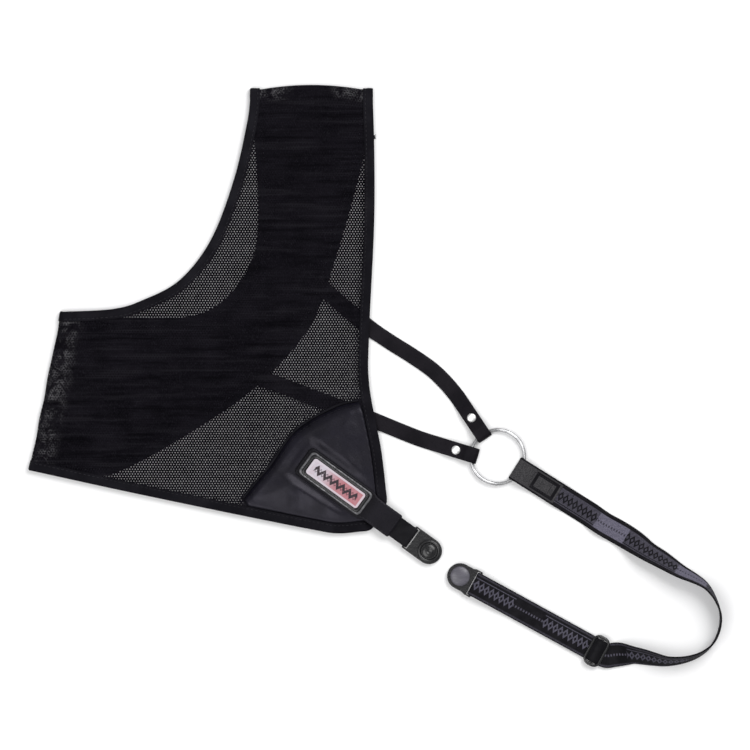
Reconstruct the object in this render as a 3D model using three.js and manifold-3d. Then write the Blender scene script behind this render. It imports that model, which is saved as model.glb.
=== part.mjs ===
// A one-shoulder chest guard lying folded flat: the front panel is on top, the back panel is under it,
// and two straps lead from the back panel to a ring, an elastic band and a press-stud clip.
// Millimetres, +Z up, the ground at Z = 0. The origin is under the middle of the guard and its ring.
import * as THREE from 'three';
import Module from 'manifold-3d';
import { mergeVertices } from 'three/addons/utils/BufferGeometryUtils.js';

const wasm = await Module();
wasm.setup();

// Driving dimensions
const GAP = 0.3; // air between neighbouring pieces
const CLOTH = 0.6; // thickness of the mesh and of the knit
const TAPE = { width: 8, wall: 0.5, tall: 2.1, seat: 1 }; // folded tape on the cloth's edges
const BACK_Z = TAPE.tall / 2; // middle of the back panel's cloth
const FRONT_Z = 4.5; // middle of the front panel's cloth
const FOLD_R = (FRONT_Z - BACK_Z) / 2;
const FOLD_Z = (FRONT_Z + BACK_Z) / 2;
const SHOULDER_BOW = 3.4; // how far the shoulder fold swells between its ends
const UNDERLAP = 3; // how far the front panel's mesh carries on under each fold
const PATCH = { z: FRONT_Z + CLOTH / 2 + GAP, thick: 0.9, fromEdge: 8.5, pastPiping: 1.4 };
const PIPING = { r: 0.9, sides: 8 };
const CORNER_ANGLE = -36; // the badge, the tab and the stud clip lie along this line, degrees
const BADGE = { x: 47, y: -127.4, long: 60, wide: 21.4, thick: 1.8, corner: 3.5 };
const RIM = { long: 4.4, wide: 3.2, corner: 2.5 }; // the badge frame's rim and the corners inside it
const LABEL = { thick: 1.2, corner: 2.2 };
const TAB = { from: -33, to: 58.8, wide: 25, narrow: 20.8, taper: 4, thick: 1.5, corner: 4 };
const TAB_Z = PATCH.z + PATCH.thick + GAP;
const BADGE_Z = TAB_Z + TAB.thick + GAP;
const CLIP = { round: 10.4, thick: 2.2, bar: 1.2, slot: 3.6 }; // slot is how far it runs ahead of the bar
const POST = { r: 1.7, hole: 2 }; // posts of the rivets, the stud and the cap, and the holes round them
const STUD = { at: 92.2, bar: 19.2, z: 3.1 }; // at runs from the badge's middle along the corner line
const COLLAR = { inner: 6, outer: 7.4, sunk: 0.5, tall: 1 }; // raised ring round the stud
const LOOP = { width: 17.6, thick: 1.3, from: 44.4, z: 3.55 }; // z is its lower layer, under the corner
const STRAP = { width: 12.5, thick: 1.5 };
const STRAP_LOW = STRAP.thick / 2; // middle of a strap that lies on the ground
const STRAP_SEWN = TAPE.tall + GAP + STRAP.thick / 2; // and of one that lies on the back panel's tape
const RIVETED = { low: 1.85, high: 3.65 }; // middles of a strap's two layers at its rivet
const FOLD_X = 84; // the line beside the guard where the straps fold up
const FOLD_END = 0.3; // from that line to the strap on each side of it
const RING = { x: 176.4, y: -106.2, z: 3.3, r: 21.5, wire: 1.5 };
const WRAP_R = RING.wire + GAP + STRAP.thick / 2; // a strap's turn round the ring's wire
const BAND = { width: 19.6, thick: 1.4 };
const BAND_LOW = BAND.thick / 2; // middle of a band that lies on the ground
const BAND_OVER = BAND_LOW + BAND.thick + GAP; // and of one that lies on another layer of it
const BAND_WRAP = { r: RING.wire + 1.1, inside: 2.4 }; // its slack turn stands inside the ring's wire
const SOCKET = { x: 146.4, y: -201.6, z: 3.2, angle: -28.7, bar: 14.4, halfWide: 11.3 };
const SPRING = { r: 3.2, wire: 0.25, z: 0.6 };
const SLIDER = { at: 124.4, long: 15, wide: 26, thick: 1.9, corner: 2.5, bar: 2.6 };
const SLOT = { short: 3.8, long: 21 }; // each of the slider's two slots
const THROUGH = 20; // height of every tool that cuts right through a piece
const TRIM = 60; // side of the box that trims a strap near its fold line

// Materials
const COLOURS = {
  mesh: [0x48464b, 0.9, 0],
  knit: [0x141417, 0.95, 0],
  tape: [0x121117, 0.85, 0],
  leather: [0x2c2b32, 0.45, 0],
  strap: [0x1c1b20, 0.6, 0],
  webbing: [0x1a1920, 0.8, 0],
  plastic: [0x232228, 0.4, 0],
  rim: [0x8f8d92, 0.5, 0],
  label: [0xe6dfe2, 0.5, 0],
  steel: [0xb9bcc0, 0.2, 1],
};

const guard = new THREE.Group();

function addPiece(name, colour, geometry, parent = guard) {
  const [color, roughness, metalness] = COLOURS[colour];
  const material = new THREE.MeshStandardMaterial({ color, roughness, metalness });
  const piece = new THREE.Mesh(geometry, material);
  piece.name = name;
  parent.add(piece);
  return piece;
}

// Cuts and joins

function toSolid(geometry) {
  const bare = geometry.clone();
  bare.deleteAttribute('normal');
  bare.deleteAttribute('uv');
  const merged = mergeVertices(bare, 1e-4);
  const vertProperties = new Float32Array(merged.attributes.position.array);
  const triVerts = new Uint32Array(merged.index.array);
  return new wasm.Manifold(new wasm.Mesh({ numProp: 3, vertProperties, triVerts }));
}

function toGeometry(solid) {
  const mesh = solid.getMesh();
  const geometry = new THREE.BufferGeometry();
  geometry.setAttribute('position', new THREE.BufferAttribute(new Float32Array(mesh.vertProperties), 3));
  geometry.setIndex(new THREE.BufferAttribute(new Uint32Array(mesh.triVerts), 1));
  geometry.computeVertexNormals();
  return geometry;
}

function cut(geometry, ...tools) {
  return toGeometry(tools.reduce((solid, tool) => solid.subtract(toSolid(tool)), toSolid(geometry)));
}

function join(...geometries) {
  return toGeometry(geometries.map(toSolid).reduce((solid, other) => solid.add(other)));
}

// Sweeps

// Joins a row of rings, each the same number of points, into one closed body.
function skin(rings, closed = false) {
  const count = rings[0].length;
  const positions = rings.flat().flatMap((p) => [p.x, p.y, p.z]);
  const index = [];
  const spans = closed ? rings.length : rings.length - 1;
  for (let i = 0; i < spans; i += 1) {
    const near = i * count;
    const far = ((i + 1) % rings.length) * count;
    for (let j = 0; j < count; j += 1) {
      const k = (j + 1) % count;
      index.push(near + j, far + j, far + k, near + j, far + k, near + k);
    }
  }
  if (!closed) {
    addCap(index, rings[0], 0, true);
    addCap(index, rings[rings.length - 1], (rings.length - 1) * count, false);
  }
  const geometry = new THREE.BufferGeometry();
  geometry.setAttribute('position', new THREE.Float32BufferAttribute(positions, 3));
  geometry.setIndex(index);
  if (signedVolume(geometry) < 0) {
    geometry.setIndex(index.toReversed());
  }
  geometry.computeVertexNormals();
  return geometry;
}

// A flat end on a row of rings. The ring's own normal sets the flat frame, so the ring turns left in it.
function addCap(index, ring, first, atStart) {
  const normal = ring.reduce(
    (sum, p, i) => sum.add(new THREE.Vector3().crossVectors(p, ring[(i + 1) % ring.length])),
    new THREE.Vector3(),
  ).normalize();
  const across = ring[1].clone().sub(ring[0]).normalize();
  const up = new THREE.Vector3().crossVectors(normal, across);
  const flat = ring.map((p) => new THREE.Vector2(p.dot(across), p.dot(up)));
  for (const [a, b, c] of THREE.ShapeUtils.triangulateShape(flat, [])) {
    const corners = atStart ? [a, b, c] : [a, c, b];
    index.push(...corners.map((n) => first + n));
  }
}

function signedVolume(geometry) {
  const position = geometry.attributes.position;
  const index = geometry.index.array;
  const [a, b, c] = [new THREE.Vector3(), new THREE.Vector3(), new THREE.Vector3()];
  let volume = 0;
  for (let i = 0; i < index.length; i += 3) {
    a.fromBufferAttribute(position, index[i]);
    b.fromBufferAttribute(position, index[i + 1]);
    c.fromBufferAttribute(position, index[i + 2]);
    volume += a.dot(b.cross(c)) / 6;
  }
  return volume;
}

const flatPoint = (p, z) => new THREE.Vector3(p.x, p.y, z);
const turned = (degrees) => {
  const angle = THREE.MathUtils.degToRad(degrees);
  return new THREE.Vector2(Math.cos(angle), Math.sin(angle));
};
const leftOf = (v) => new THREE.Vector2(-v.y, v.x);
const spline = (points) => new THREE.SplineCurve(points.map(([x, y]) => new THREE.Vector2(x, y)));

// Even places along a curve in plan, each with the way to its left
function leftAlong(curve, count) {
  const points = curve.getSpacedPoints(count);
  return points.map((at, i) => {
    const before = points[Math.max(i - 1, 0)];
    const after = points[Math.min(i + 1, count)];
    return { at, left: leftOf(after.clone().sub(before).normalize()) };
  });
}

// Outlines of the cloth, seen from above. Each runs from the side fold to the shoulder fold.
const sideTop = [-170.8, 9.8];
const sideBottom = [-196.4, -117.3];
const shoulderLeft = [-21.6, 186];
const shoulderRight = [76.8, 186];
const cornerLow = [74.4, -164.8];
const cornerHigh = [88, -140.8];

const armhole = spline([
  sideTop, [-131, 12], [-107, 19.2], [-77.6, 35.2], [-52.8, 67.2], [-34.4, 115.2], [-24, 160], [-21.6, 178],
  shoulderLeft,
]);
const hem = spline([sideBottom, [-125.6, -132.8], [-47.2, -149.2], [26.4, -164], [50, -167.4], cornerLow]);
const neck = spline([
  cornerHigh, [83.4, -100.8], [74, -50], [73.6, -10], [77.6, 75.2], [78, 130], [76.8, 178], shoulderRight,
]);
const backInner = spline([
  sideTop, [-116.8, 4.6], [-64.8, 7.2], [-35.2, 26.4], [-17.4, 60], [-15.4, 110], [-19.2, 160],
  [-21.6, 178], shoulderLeft,
]);
const backOuter = spline([
  sideBottom, [-150, -122.5], [-120, -115.2], [-64.8, -84], [-15.2, -48.8], [26.4, -1.6], [48, 56],
  [66, 120], [72.6, 152], [76.4, 176], shoulderRight,
]);

// Stretches of those curves, as shares of their length
const KNIT_INNER = [0.0135, 0.9812]; // the knit stops short of the mesh that turns under at each fold
const KNIT_OUTER = [0.0108, 0.9865];
const TAPED_OUTER = [0.015, 1];
const PATCHED_HEM = [0.632, 1];
const PATCHED_NECK = [0, 0.222];

// The line at each fold, from the armhole side to the outer side, and the way out of the cloth
const vector = ([x, y]) => new THREE.Vector2(x, y);
const foldFrame = (inner, outer) => {
  const along = vector(outer).sub(vector(inner)).normalize();
  return { inner: vector(inner), outer: vector(outer), along };
};
const sideFold = foldFrame(sideTop, sideBottom);
sideFold.away = leftOf(sideFold.along).negate();
const shoulderFold = foldFrame(shoulderLeft, shoulderRight);
shoulderFold.away = leftOf(shoulderFold.along);

// A place in the cloth: a point in its mid-surface, the way into the cloth, and the way its face looks
const place = (point, z, inward, normal) => (
  { at: flatPoint(point, z), inward: flatPoint(inward, 0), normal }
);

function placesAlong(curve, count, z, side, [from, to] = [0, 1]) {
  return Array.from({ length: count + 1 }, (_, i) => {
    const t = from + ((to - from) * i) / count;
    const inward = leftOf(curve.getTangentAt(t)).multiplyScalar(side);
    return place(curve.getPointAt(t), z, inward, new THREE.Vector3(0, 0, z === FRONT_Z ? 1 : -1));
  });
}

// Places round a fold, from the front's face to the back's
function placesRound(point, inward, away, steps = 6) {
  return Array.from({ length: steps + 1 }, (_, i) => {
    const angle = (Math.PI * i) / steps;
    const out = away.clone().multiplyScalar(Math.sin(angle) * FOLD_R);
    const normal = flatPoint(away.clone().multiplyScalar(Math.sin(angle)), Math.cos(angle));
    return place(point.clone().add(out), FOLD_Z + FOLD_R * Math.cos(angle), inward, normal);
  });
}

// Folded tape: a channel that takes the cloth's edge
function foldedTape(places, closed = false) {
  const { width, wall, tall } = TAPE;
  const half = tall / 2;
  const section = [
    [0, -half], [width, -half], [width, wall - half], [wall, wall - half],
    [wall, half - wall], [width, half - wall], [width, half], [0, half],
  ];
  const rings = places.map(({ at, inward, normal }) => section.map(([into, up]) => (
    at.clone().addScaledVector(inward, into).addScaledVector(normal, up)
  )));
  return skin(rings, closed);
}

function armholeBinding() {
  const front = placesAlong(armhole, 26, FRONT_Z, -1);
  const back = placesAlong(backInner, 26, BACK_Z, -1).toReversed();
  const over = placesRound(shoulderFold.inner, shoulderFold.along, shoulderFold.away).slice(1, -1);
  const under = placesRound(sideFold.inner, sideFold.along, sideFold.away).slice(1, -1).toReversed();
  return foldedTape([...front, ...over, ...back, ...under], true);
}

function neckBinding() {
  const front = placesAlong(neck, 24, FRONT_Z, 1);
  const inward = shoulderFold.along.clone().negate();
  const over = placesRound(shoulderFold.outer, inward, shoulderFold.away).slice(1, -1);
  const back = placesAlong(backOuter, 34, BACK_Z, 1, TAPED_OUTER).toReversed();
  return foldedTape([...front, ...over, ...back]);
}

function hemBinding() {
  const front = placesAlong(hem, 18, FRONT_Z, 1).toReversed();
  const inward = sideFold.along.clone().negate();
  const round = placesRound(sideFold.outer, inward, sideFold.away).slice(1);
  return foldedTape([...front, ...round]);
}

// One row of a panel, from the armhole side to the outer side. Between the bands of folded tape it
// swells by bow, which dies out at the given share each side of the middle.
const ROW_SHARES = [0, 0.1, 0.3, 0.5, 0.7, 0.9, 1];
const BOW_HALF = 0.4;

function clothRow(from, to, normal, bow, shares = ROW_SHARES) {
  const points = shares.map((share) => {
    const swell = bow.clone().multiplyScalar(Math.max(0, 1 - ((share - 0.5) / BOW_HALF) ** 2));
    return new THREE.Vector3().lerpVectors(from, to, share).add(swell);
  });
  const lift = normal.clone().multiplyScalar(CLOTH / 2);
  const upper = points.map((p) => p.clone().add(lift));
  const lower = points.map((p) => p.clone().sub(lift)).toReversed();
  return [...upper, ...lower];
}

const seated = ({ at, inward }) => at.clone().addScaledVector(inward, TAPE.seat);

function foldRows(fold, bowAt) {
  const inner = placesRound(fold.inner, fold.along, fold.away);
  const outer = placesRound(fold.outer, fold.along.clone().negate(), fold.away);
  const rows = inner.map((start, i) => clothRow(seated(start), seated(outer[i]), start.normal, bowAt));
  const last = inner.length - 1;
  const back = flatPoint(fold.away, 0).multiplyScalar(-UNDERLAP);
  rows.push(clothRow(
    seated(inner[last]).add(back), seated(outer[last]).add(back), inner[last].normal, bowAt,
  ));
  return rows;
}

function frontPanel() {
  const spans = 36;
  const hemSpans = 18;
  const bowFrom = 28; // the row from which the cloth swells towards the shoulder fold
  const inner = placesAlong(armhole, spans, FRONT_Z, -1);
  const acrossHem = placesAlong(hem, hemSpans, FRONT_Z, 1);
  const upNeck = placesAlong(neck, spans - hemSpans - 1, FRONT_Z, 1);
  const outer = [...acrossHem, ...upNeck];
  const up = new THREE.Vector3(0, 0, 1);
  const rows = inner.slice(1, -1).map((start, i) => {
    const rise = Math.max(0, (i - bowFrom) / (spans - bowFrom)) ** 2;
    const bow = flatPoint(shoulderFold.away, 0).multiplyScalar(SHOULDER_BOW * rise);
    return clothRow(seated(start), seated(outer[i + 1]), up, bow);
  });
  const noBow = new THREE.Vector3();
  const fullBow = flatPoint(shoulderFold.away, 0).multiplyScalar(SHOULDER_BOW);
  const side = foldRows(sideFold, noBow).toReversed();
  return skin([...side, ...rows, ...foldRows(shoulderFold, fullBow)]);
}

function backPanel() {
  const inner = placesAlong(backInner, 34, BACK_Z, -1, KNIT_INNER);
  const outer = placesAlong(backOuter, 34, BACK_Z, 1, KNIT_OUTER);
  const up = new THREE.Vector3(0, 0, 1);
  const noBow = new THREE.Vector3();
  return skin(inner.map((start, i) => clothRow(seated(start), seated(outer[i]), up, noBow, [0, 1])));
}

// Leather-look patch in the lower corner, inside the folded tape
const patchSeam = spline([
  [-27.5, -139.5], [-15, -124], [-5, -112], [15.5, -84], [46, -66], [65.4, -60.8],
]);

function inset(curve, stretch, count) {
  return placesAlong(curve, count, FRONT_Z, 1, stretch).map(({ at, inward }) => (
    new THREE.Vector2(at.x + inward.x * PATCH.fromEdge, at.y + inward.y * PATCH.fromEdge)
  ));
}

function cornerPatch() {
  const seam = leftAlong(patchSeam, 20).map(({ at, left }) => (
    at.clone().addScaledVector(left, -PATCH.pastPiping)
  ));
  const low = inset(hem, PATCHED_HEM, 8);
  const high = inset(neck, PATCHED_NECK, 6);
  const mouth = [1 / 3, 2 / 3].map((share) => vector(cornerLow).lerp(vector(cornerHigh), share));
  const shape = new THREE.Shape([...seam.toReversed(), ...low, ...mouth, ...high]);
  return slab(shape, PATCH.z, PATCH.z + PATCH.thick);
}

function patchPiping() {
  const { r, sides } = PIPING;
  const rings = leftAlong(patchSeam, 24).map(({ at, left }) => (
    Array.from({ length: sides }, (_, k) => {
      const angle = (2 * Math.PI * k) / sides;
      const reach = at.clone().addScaledVector(left, r * Math.cos(angle));
      return flatPoint(reach, PATCH.z + r + r * Math.sin(angle));
    })
  ));
  return skin(rings);
}

// A rectangle with rounded corners about the middle
function roundedRectangle(long, wide, corner) {
  const shape = new THREE.Shape();
  const [x, y] = [long / 2 - corner, wide / 2 - corner];
  shape.absarc(x, y, corner, 0, Math.PI / 2);
  shape.absarc(-x, y, corner, Math.PI / 2, Math.PI);
  shape.absarc(-x, -y, corner, Math.PI, 1.5 * Math.PI);
  shape.absarc(x, -y, corner, 1.5 * Math.PI, 2 * Math.PI);
  return shape;
}

const slab = (shape, from, to, curveSegments = 6) => (
  new THREE.ExtrudeGeometry(shape, { depth: to - from, bevelEnabled: false, curveSegments })
    .translate(0, 0, from)
);

function cornerTab() {
  const { corner } = TAB;
  const wideTo = BADGE.long / 2;
  const narrowFrom = wideTo + TAB.taper;
  const [wide, narrow] = [TAB.wide / 2, TAB.narrow / 2];
  const shape = new THREE.Shape();
  shape.moveTo(TAB.to, -narrow);
  shape.lineTo(TAB.to, narrow);
  shape.lineTo(narrowFrom, narrow);
  shape.lineTo(wideTo, wide);
  shape.absarc(TAB.from + corner, wide - corner, corner, Math.PI / 2, Math.PI);
  shape.absarc(TAB.from + corner, corner - wide, corner, Math.PI, 1.5 * Math.PI);
  shape.lineTo(wideTo, -wide);
  shape.lineTo(narrowFrom, -narrow);
  return slab(shape, TAB_Z, TAB_Z + TAB.thick);
}

function badgeFrame() {
  const shape = roundedRectangle(BADGE.long, BADGE.wide, BADGE.corner);
  shape.holes.push(roundedRectangle(BADGE.long - 2 * RIM.long, BADGE.wide - 2 * RIM.wide, RIM.corner));
  return slab(shape, BADGE_Z, BADGE_Z + BADGE.thick);
}

function badgeLabel() {
  const long = BADGE.long - 2 * (RIM.long + GAP);
  const wide = BADGE.wide - 2 * (RIM.wide + GAP);
  return slab(roundedRectangle(long, wide, LABEL.corner), BADGE_Z, BADGE_Z + LABEL.thick);
}

// Flat strips that run along a route: each station has its middle and the way across it
function strip(stations, width, thick) {
  const rings = stations.map(({ at, across }, i) => {
    const before = stations[Math.max(i - 1, 0)].at;
    const after = stations[Math.min(i + 1, stations.length - 1)].at;
    const up = new THREE.Vector3().crossVectors(after.clone().sub(before), across).normalize();
    return [[-1, -1], [1, -1], [1, 1], [-1, 1]].map(([side, face]) => (
      at.clone().addScaledVector(across, (side * width) / 2).addScaledVector(up, (face * thick) / 2)
    ));
  });
  return skin(rings);
}

// Half a turn round a bar, in the plane of the strip's run, from the upper layer to the lower
function halfTurn(barX, barZ, radius, steps = 8) {
  return Array.from({ length: steps + 1 }, (_, i) => {
    const angle = Math.PI / 2 - (Math.PI * i) / steps;
    return [barX + radius * Math.cos(angle), barZ + radius * Math.sin(angle)];
  });
}

// A lathed piece, standing on its axis
function lathed(profile, sides = 20) {
  return new THREE.LatheGeometry(profile.map(([r, z]) => new THREE.Vector2(r, z)), sides)
    .rotateX(Math.PI / 2);
}

// The tongue of either clip: a round end, two arms that spread to the given width, and a round bar
// between them for the webbing
function clipBody(bar, halfSlot, halfWide, z) {
  const { round, thick } = CLIP;
  const slotFront = CLIP.slot - bar;
  const armFull = slotFront + 1;
  const armFrom = -Math.sqrt(Math.max(0, halfWide ** 2 - round ** 2)) - 2;
  const armStart = Math.min(halfWide, round);
  const shape = new THREE.Shape();
  shape.absarc(0, 0, round, -Math.PI / 2, Math.PI / 2);
  shape.lineTo(armFrom, armStart);
  shape.lineTo(armFull, halfWide);
  shape.lineTo(-bar, halfWide);
  shape.lineTo(-bar, halfSlot);
  shape.lineTo(slotFront, halfSlot);
  shape.lineTo(slotFront, -halfSlot);
  shape.lineTo(-bar, -halfSlot);
  shape.lineTo(-bar, -halfWide);
  shape.lineTo(armFull, -halfWide);
  shape.lineTo(armFrom, -armStart);
  const plate = slab(shape, z - thick / 2, z + thick / 2, 10);
  const rod = new THREE.CylinderGeometry(CLIP.bar, CLIP.bar, 2 * halfWide, 12).translate(-bar, 0, z);
  return cut(join(plate, rod), postHole(0, 0));
}

function postHole(x, y) {
  return new THREE.CylinderGeometry(POST.hole, POST.hole, THROUGH, 16)
    .rotateX(Math.PI / 2)
    .translate(x, y, 0);
}

// Lower corner: badge, tab, webbing loop and stud clip share one line
const corner = new THREE.Group();
corner.position.set(BADGE.x, BADGE.y, 0);
corner.rotation.z = THREE.MathUtils.degToRad(CORNER_ANGLE);
guard.add(corner);

function tabLoop() {
  const bar = STUD.at - STUD.bar;
  const radius = CLIP.bar + GAP + LOOP.thick / 2;
  const upper = STUD.z + radius;
  const route = [
    [LOOP.from, upper], [bar - 12, upper], ...halfTurn(bar, STUD.z, radius),
    [bar - 5, STUD.z - radius + 0.2], [bar - 14, LOOP.z - 0.3], [LOOP.from, LOOP.z],
  ];
  const stations = route.map(([x, z]) => ({
    at: new THREE.Vector3(x, 0, z), across: new THREE.Vector3(0, 1, 0),
  }));
  return strip(stations, LOOP.width, LOOP.thick);
}

function snapStud() {
  const top = STUD.z + CLIP.thick / 2 + GAP;
  const low = STUD.z - CLIP.thick / 2 - GAP;
  return lathed([
    [0, 0], [5, 0], [5, low], [POST.r, low], [POST.r, top], [5.4, top], [5.4, top + 0.6],
    [2.6, top + 0.9], [2.5, top + 1.6], [3.1, top + 2.2], [2.6, top + 2.8], [0, top + 2.8],
  ]);
}

function studClip() {
  const { inner, outer, sunk, tall } = COLLAR;
  const face = STUD.z + CLIP.thick / 2;
  const [low, high] = [face - sunk, face + tall];
  const collar = lathed([[inner, low], [outer, low], [outer, high], [inner, high], [inner, low]]);
  return join(clipBody(STUD.bar, LOOP.width / 2 + GAP, CLIP.round, STUD.z), collar);
}

addPiece('front_panel', 'mesh', frontPanel());
addPiece('back_panel', 'knit', backPanel());
addPiece('armhole_binding', 'tape', armholeBinding());
addPiece('neck_binding', 'tape', neckBinding());
addPiece('hem_binding', 'tape', hemBinding());
addPiece('corner_patch', 'leather', cornerPatch());
addPiece('patch_piping', 'tape', patchPiping());
addPiece('corner_tab', 'leather', cornerTab(), corner);
addPiece('badge_frame', 'rim', badgeFrame(), corner);
addPiece('badge_label', 'label', badgeLabel(), corner);
addPiece('tab_loop', 'webbing', tabLoop(), corner);

const studHalf = new THREE.Group();
studHalf.position.x = STUD.at;
corner.add(studHalf);
addPiece('stud_clip', 'plastic', studClip(), studHalf);
addPiece('snap_stud', 'plastic', snapStud(), studHalf);

// Straps: sewn to the back panel, then free from the fold line to the ring
const acrossRun = (direction) => flatPoint(leftOf(direction), 0);

function stationsOnPlan(points, steps) {
  const curve = new THREE.CatmullRomCurve3(points.map(([x, y, z]) => new THREE.Vector3(x, y, z)));
  return Array.from({ length: steps + 1 }, (_, i) => {
    const t = i / steps;
    const along = curve.getTangentAt(t);
    const across = new THREE.Vector3(-along.y, along.x, 0).normalize();
    return { at: curve.getPointAt(t), across };
  });
}

// The loop at the ring: distances run back along the strap from where the ring's wire crosses it
function strapLoop({ crossing, direction, past, rivetAt }) {
  const flat = [rivetAt - 5, rivetAt + 4.2]; // both layers are flat along this stretch, at the rivet
  const openAt = past - 6.4;
  const route = [
    [rivetAt - 12, STRAP_LOW + 1], [flat[0], RIVETED.high], [flat[1], RIVETED.high],
    [openAt, RING.z + WRAP_R], ...halfTurn(past, RING.z, WRAP_R), [openAt, STRAP_LOW + 0.1],
    [flat[1], RIVETED.low], [flat[0], RIVETED.low],
  ];
  return route.map(([distance, z]) => ({
    at: flatPoint(crossing.clone().addScaledVector(direction, distance), z), across: acrossRun(direction),
  }));
}

function trimBox(middleX, y) {
  return new THREE.BoxGeometry(TRIM, TRIM, THROUGH).translate(middleX, y, 0);
}

function ringStrap(lead, end, steps) {
  const { crossing, direction, rivetAt } = end;
  const freeEnd = crossing.clone().addScaledVector(direction, rivetAt - 20);
  const free = stationsOnPlan([...lead, [freeEnd.x, freeEnd.y, STRAP_LOW]], steps);
  const solid = strip([...free, ...strapLoop(end)], STRAP.width, STRAP.thick);
  const spot = crossing.clone().addScaledVector(direction, rivetAt);
  const sewnSide = trimBox(FOLD_X + FOLD_END - TRIM / 2, lead[0][1]);
  return { solid: cut(solid, postHole(spot.x, spot.y), sewnSide), spot };
}

function sewnStrap(points, steps) {
  const solid = strip(stationsOnPlan(points, steps), STRAP.width, STRAP.thick);
  const last = points[points.length - 1];
  return cut(solid, trimBox(FOLD_X - FOLD_END + TRIM / 2, last[1]));
}

function rivet({ x, y }) {
  const upperCap = 4.75;
  return lathed([
    [0, 0], [3, 0], [3.2, 0.3], [3.2, 0.7], [POST.r, 0.8], [POST.r, upperCap], [3.6, upperCap],
    [3.4, upperCap + 0.6], [2.2, upperCap + 1.2], [0, upperCap + 1.4],
  ]).translate(x, y, 0);
}

const ringMiddle = new THREE.Vector2(RING.x, RING.y);
const upperWay = turned(-56.2);
const lowerWay = turned(-17);
const upperEnd = {
  crossing: ringMiddle.clone().addScaledVector(upperWay, -RING.r), direction: upperWay, past: 1.2,
  rivetAt: -16,
};
const lowerEnd = {
  crossing: new THREE.Vector2(154.9, -104.4), direction: lowerWay, past: 2.8, rivetAt: -12.4,
};

addPiece('upper_strap_root', 'strap', sewnStrap([
  [30, 34.1, STRAP_SEWN], [38, 27.4, STRAP_SEWN], [52, 15.2, 2.4], [66, 3.4, 0.95],
  [78, -6, STRAP_LOW], [92, -15.4, STRAP_LOW],
], 12));
addPiece('lower_strap_root', 'strap', sewnStrap([
  [-16, -42.6, STRAP_SEWN], [2, -48.6, STRAP_SEWN], [22, -56.2, 2.4], [44, -64.4, 0.95],
  [70, -74, STRAP_LOW], [92, -82.4, STRAP_LOW],
], 12));

const upper = ringStrap([
  [76, -4.4, STRAP_LOW], [92, -15.4, STRAP_LOW], [108, -25.4, STRAP_LOW], [124, -36.6, STRAP_LOW],
  [136, -50, STRAP_LOW],
], upperEnd, 14);
const lower = ringStrap([
  [70, -74, STRAP_LOW], [92, -82.4, STRAP_LOW], [112, -90.2, STRAP_LOW],
], lowerEnd, 6);
addPiece('upper_strap', 'strap', upper.solid);
addPiece('lower_strap', 'strap', lower.solid);
addPiece('upper_rivet', 'steel', rivet(upper.spot));
addPiece('lower_rivet', 'steel', rivet(lower.spot));

addPiece('o_ring', 'steel', new THREE.TorusGeometry(RING.r, RING.wire, 10, 56))
  .position.set(RING.x, RING.y, RING.z);

// Elastic band: sewn round the ring, laid out flat, twisted up on its edge round the far bend, and
// back through the slider to the socket clip's bar, where it turns under itself
const bandWay = turned(-32);
const runWay = turned(SOCKET.angle);
const socketMiddle = new THREE.Vector2(SOCKET.x, SOCKET.y);

const ringRun = ([distance, z]) => ({
  at: flatPoint(ringMiddle.clone().addScaledVector(bandWay, distance), z), across: acrossRun(bandWay),
});
const clipRun = ([distance, z]) => ({
  at: flatPoint(socketMiddle.clone().addScaledVector(runWay, distance), z),
  across: acrossRun(runWay).negate(),
});

// The far bend: places in plan and how far the band is tipped up there, degrees
const bend = [
  [272, -165.9, 0], [284, -173.6, 20], [296, -181, 36], [308, -188.6, 44], [322.4, -197.6, 58],
  [334, -203.4, 68], [343, -209.4, 76], [350, -219.4, 84], [354.2, -231, 88], [353.6, -243, 88],
  [348.4, -255, 86], [338.6, -263.4, 80], [326, -268, 73], [312.8, -269.4, 66], [303, -268, 58],
  [293.6, -266, 50], [284, -264.4, 43], [276.6, -263.9, 20], [270.4, -264.4, 2], [263.4, -265.6, 0],
];

// The band climbs onto its own tail over the last eighth of the bend.
function bendStations() {
  const climbShare = 1 / 8;
  const plan = new THREE.CatmullRomCurve3(bend.map(([x, y, degrees]) => new THREE.Vector3(x, y, degrees)));
  const count = 44;
  return Array.from({ length: count + 1 }, (_, i) => {
    const share = i / count;
    const at = plan.getPoint(share);
    const along = plan.getTangent(share);
    const outward = new THREE.Vector3(-along.y, along.x, 0).normalize();
    const angle = THREE.MathUtils.degToRad(at.z);
    const climbed = Math.max(0, 1 - (1 - share) / climbShare);
    const lie = BAND_LOW * Math.cos(angle) + (BAND_OVER - BAND_LOW) * climbed;
    const across = outward.multiplyScalar(Math.cos(angle)).setZ(-Math.sin(angle));
    return { at: new THREE.Vector3(at.x, at.y, (BAND.width / 2) * Math.sin(angle) + lie), across };
  });
}

function elasticBand() {
  const turnAt = RING.r - BAND_WRAP.inside;
  const sewnOver = BAND_OVER + 0.05;
  const aroundRing = halfTurn(-turnAt, RING.z, BAND_WRAP.r).map(([x, z]) => [-x, z]).toReversed();
  const atRing = [
    [54, BAND_LOW], [turnAt + 6, BAND_LOW], ...aroundRing, [turnAt + 5.5, RING.z + BAND_WRAP.r],
    [38, sewnOver], [57, sewnOver], [70, BAND_LOW], [90, BAND_LOW],
  ].map(ringRun);
  const turn = CLIP.bar + GAP + BAND.thick / 2;
  const aroundBar = halfTurn(-SOCKET.bar, SOCKET.z, turn).map(([x, z]) => [-x, z]);
  const atClip = [
    [130, BAND_OVER], [48, BAND_OVER], [SOCKET.bar + 4, SOCKET.z + turn],
    ...aroundBar, [SOCKET.bar + 6, SOCKET.z - turn], [30, BAND_LOW], [120, BAND_LOW],
  ].map(clipRun);
  return strip([...atRing, ...bendStations(), ...atClip], BAND.width, BAND.thick);
}

addPiece('elastic_band', 'webbing', elasticBand());

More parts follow.
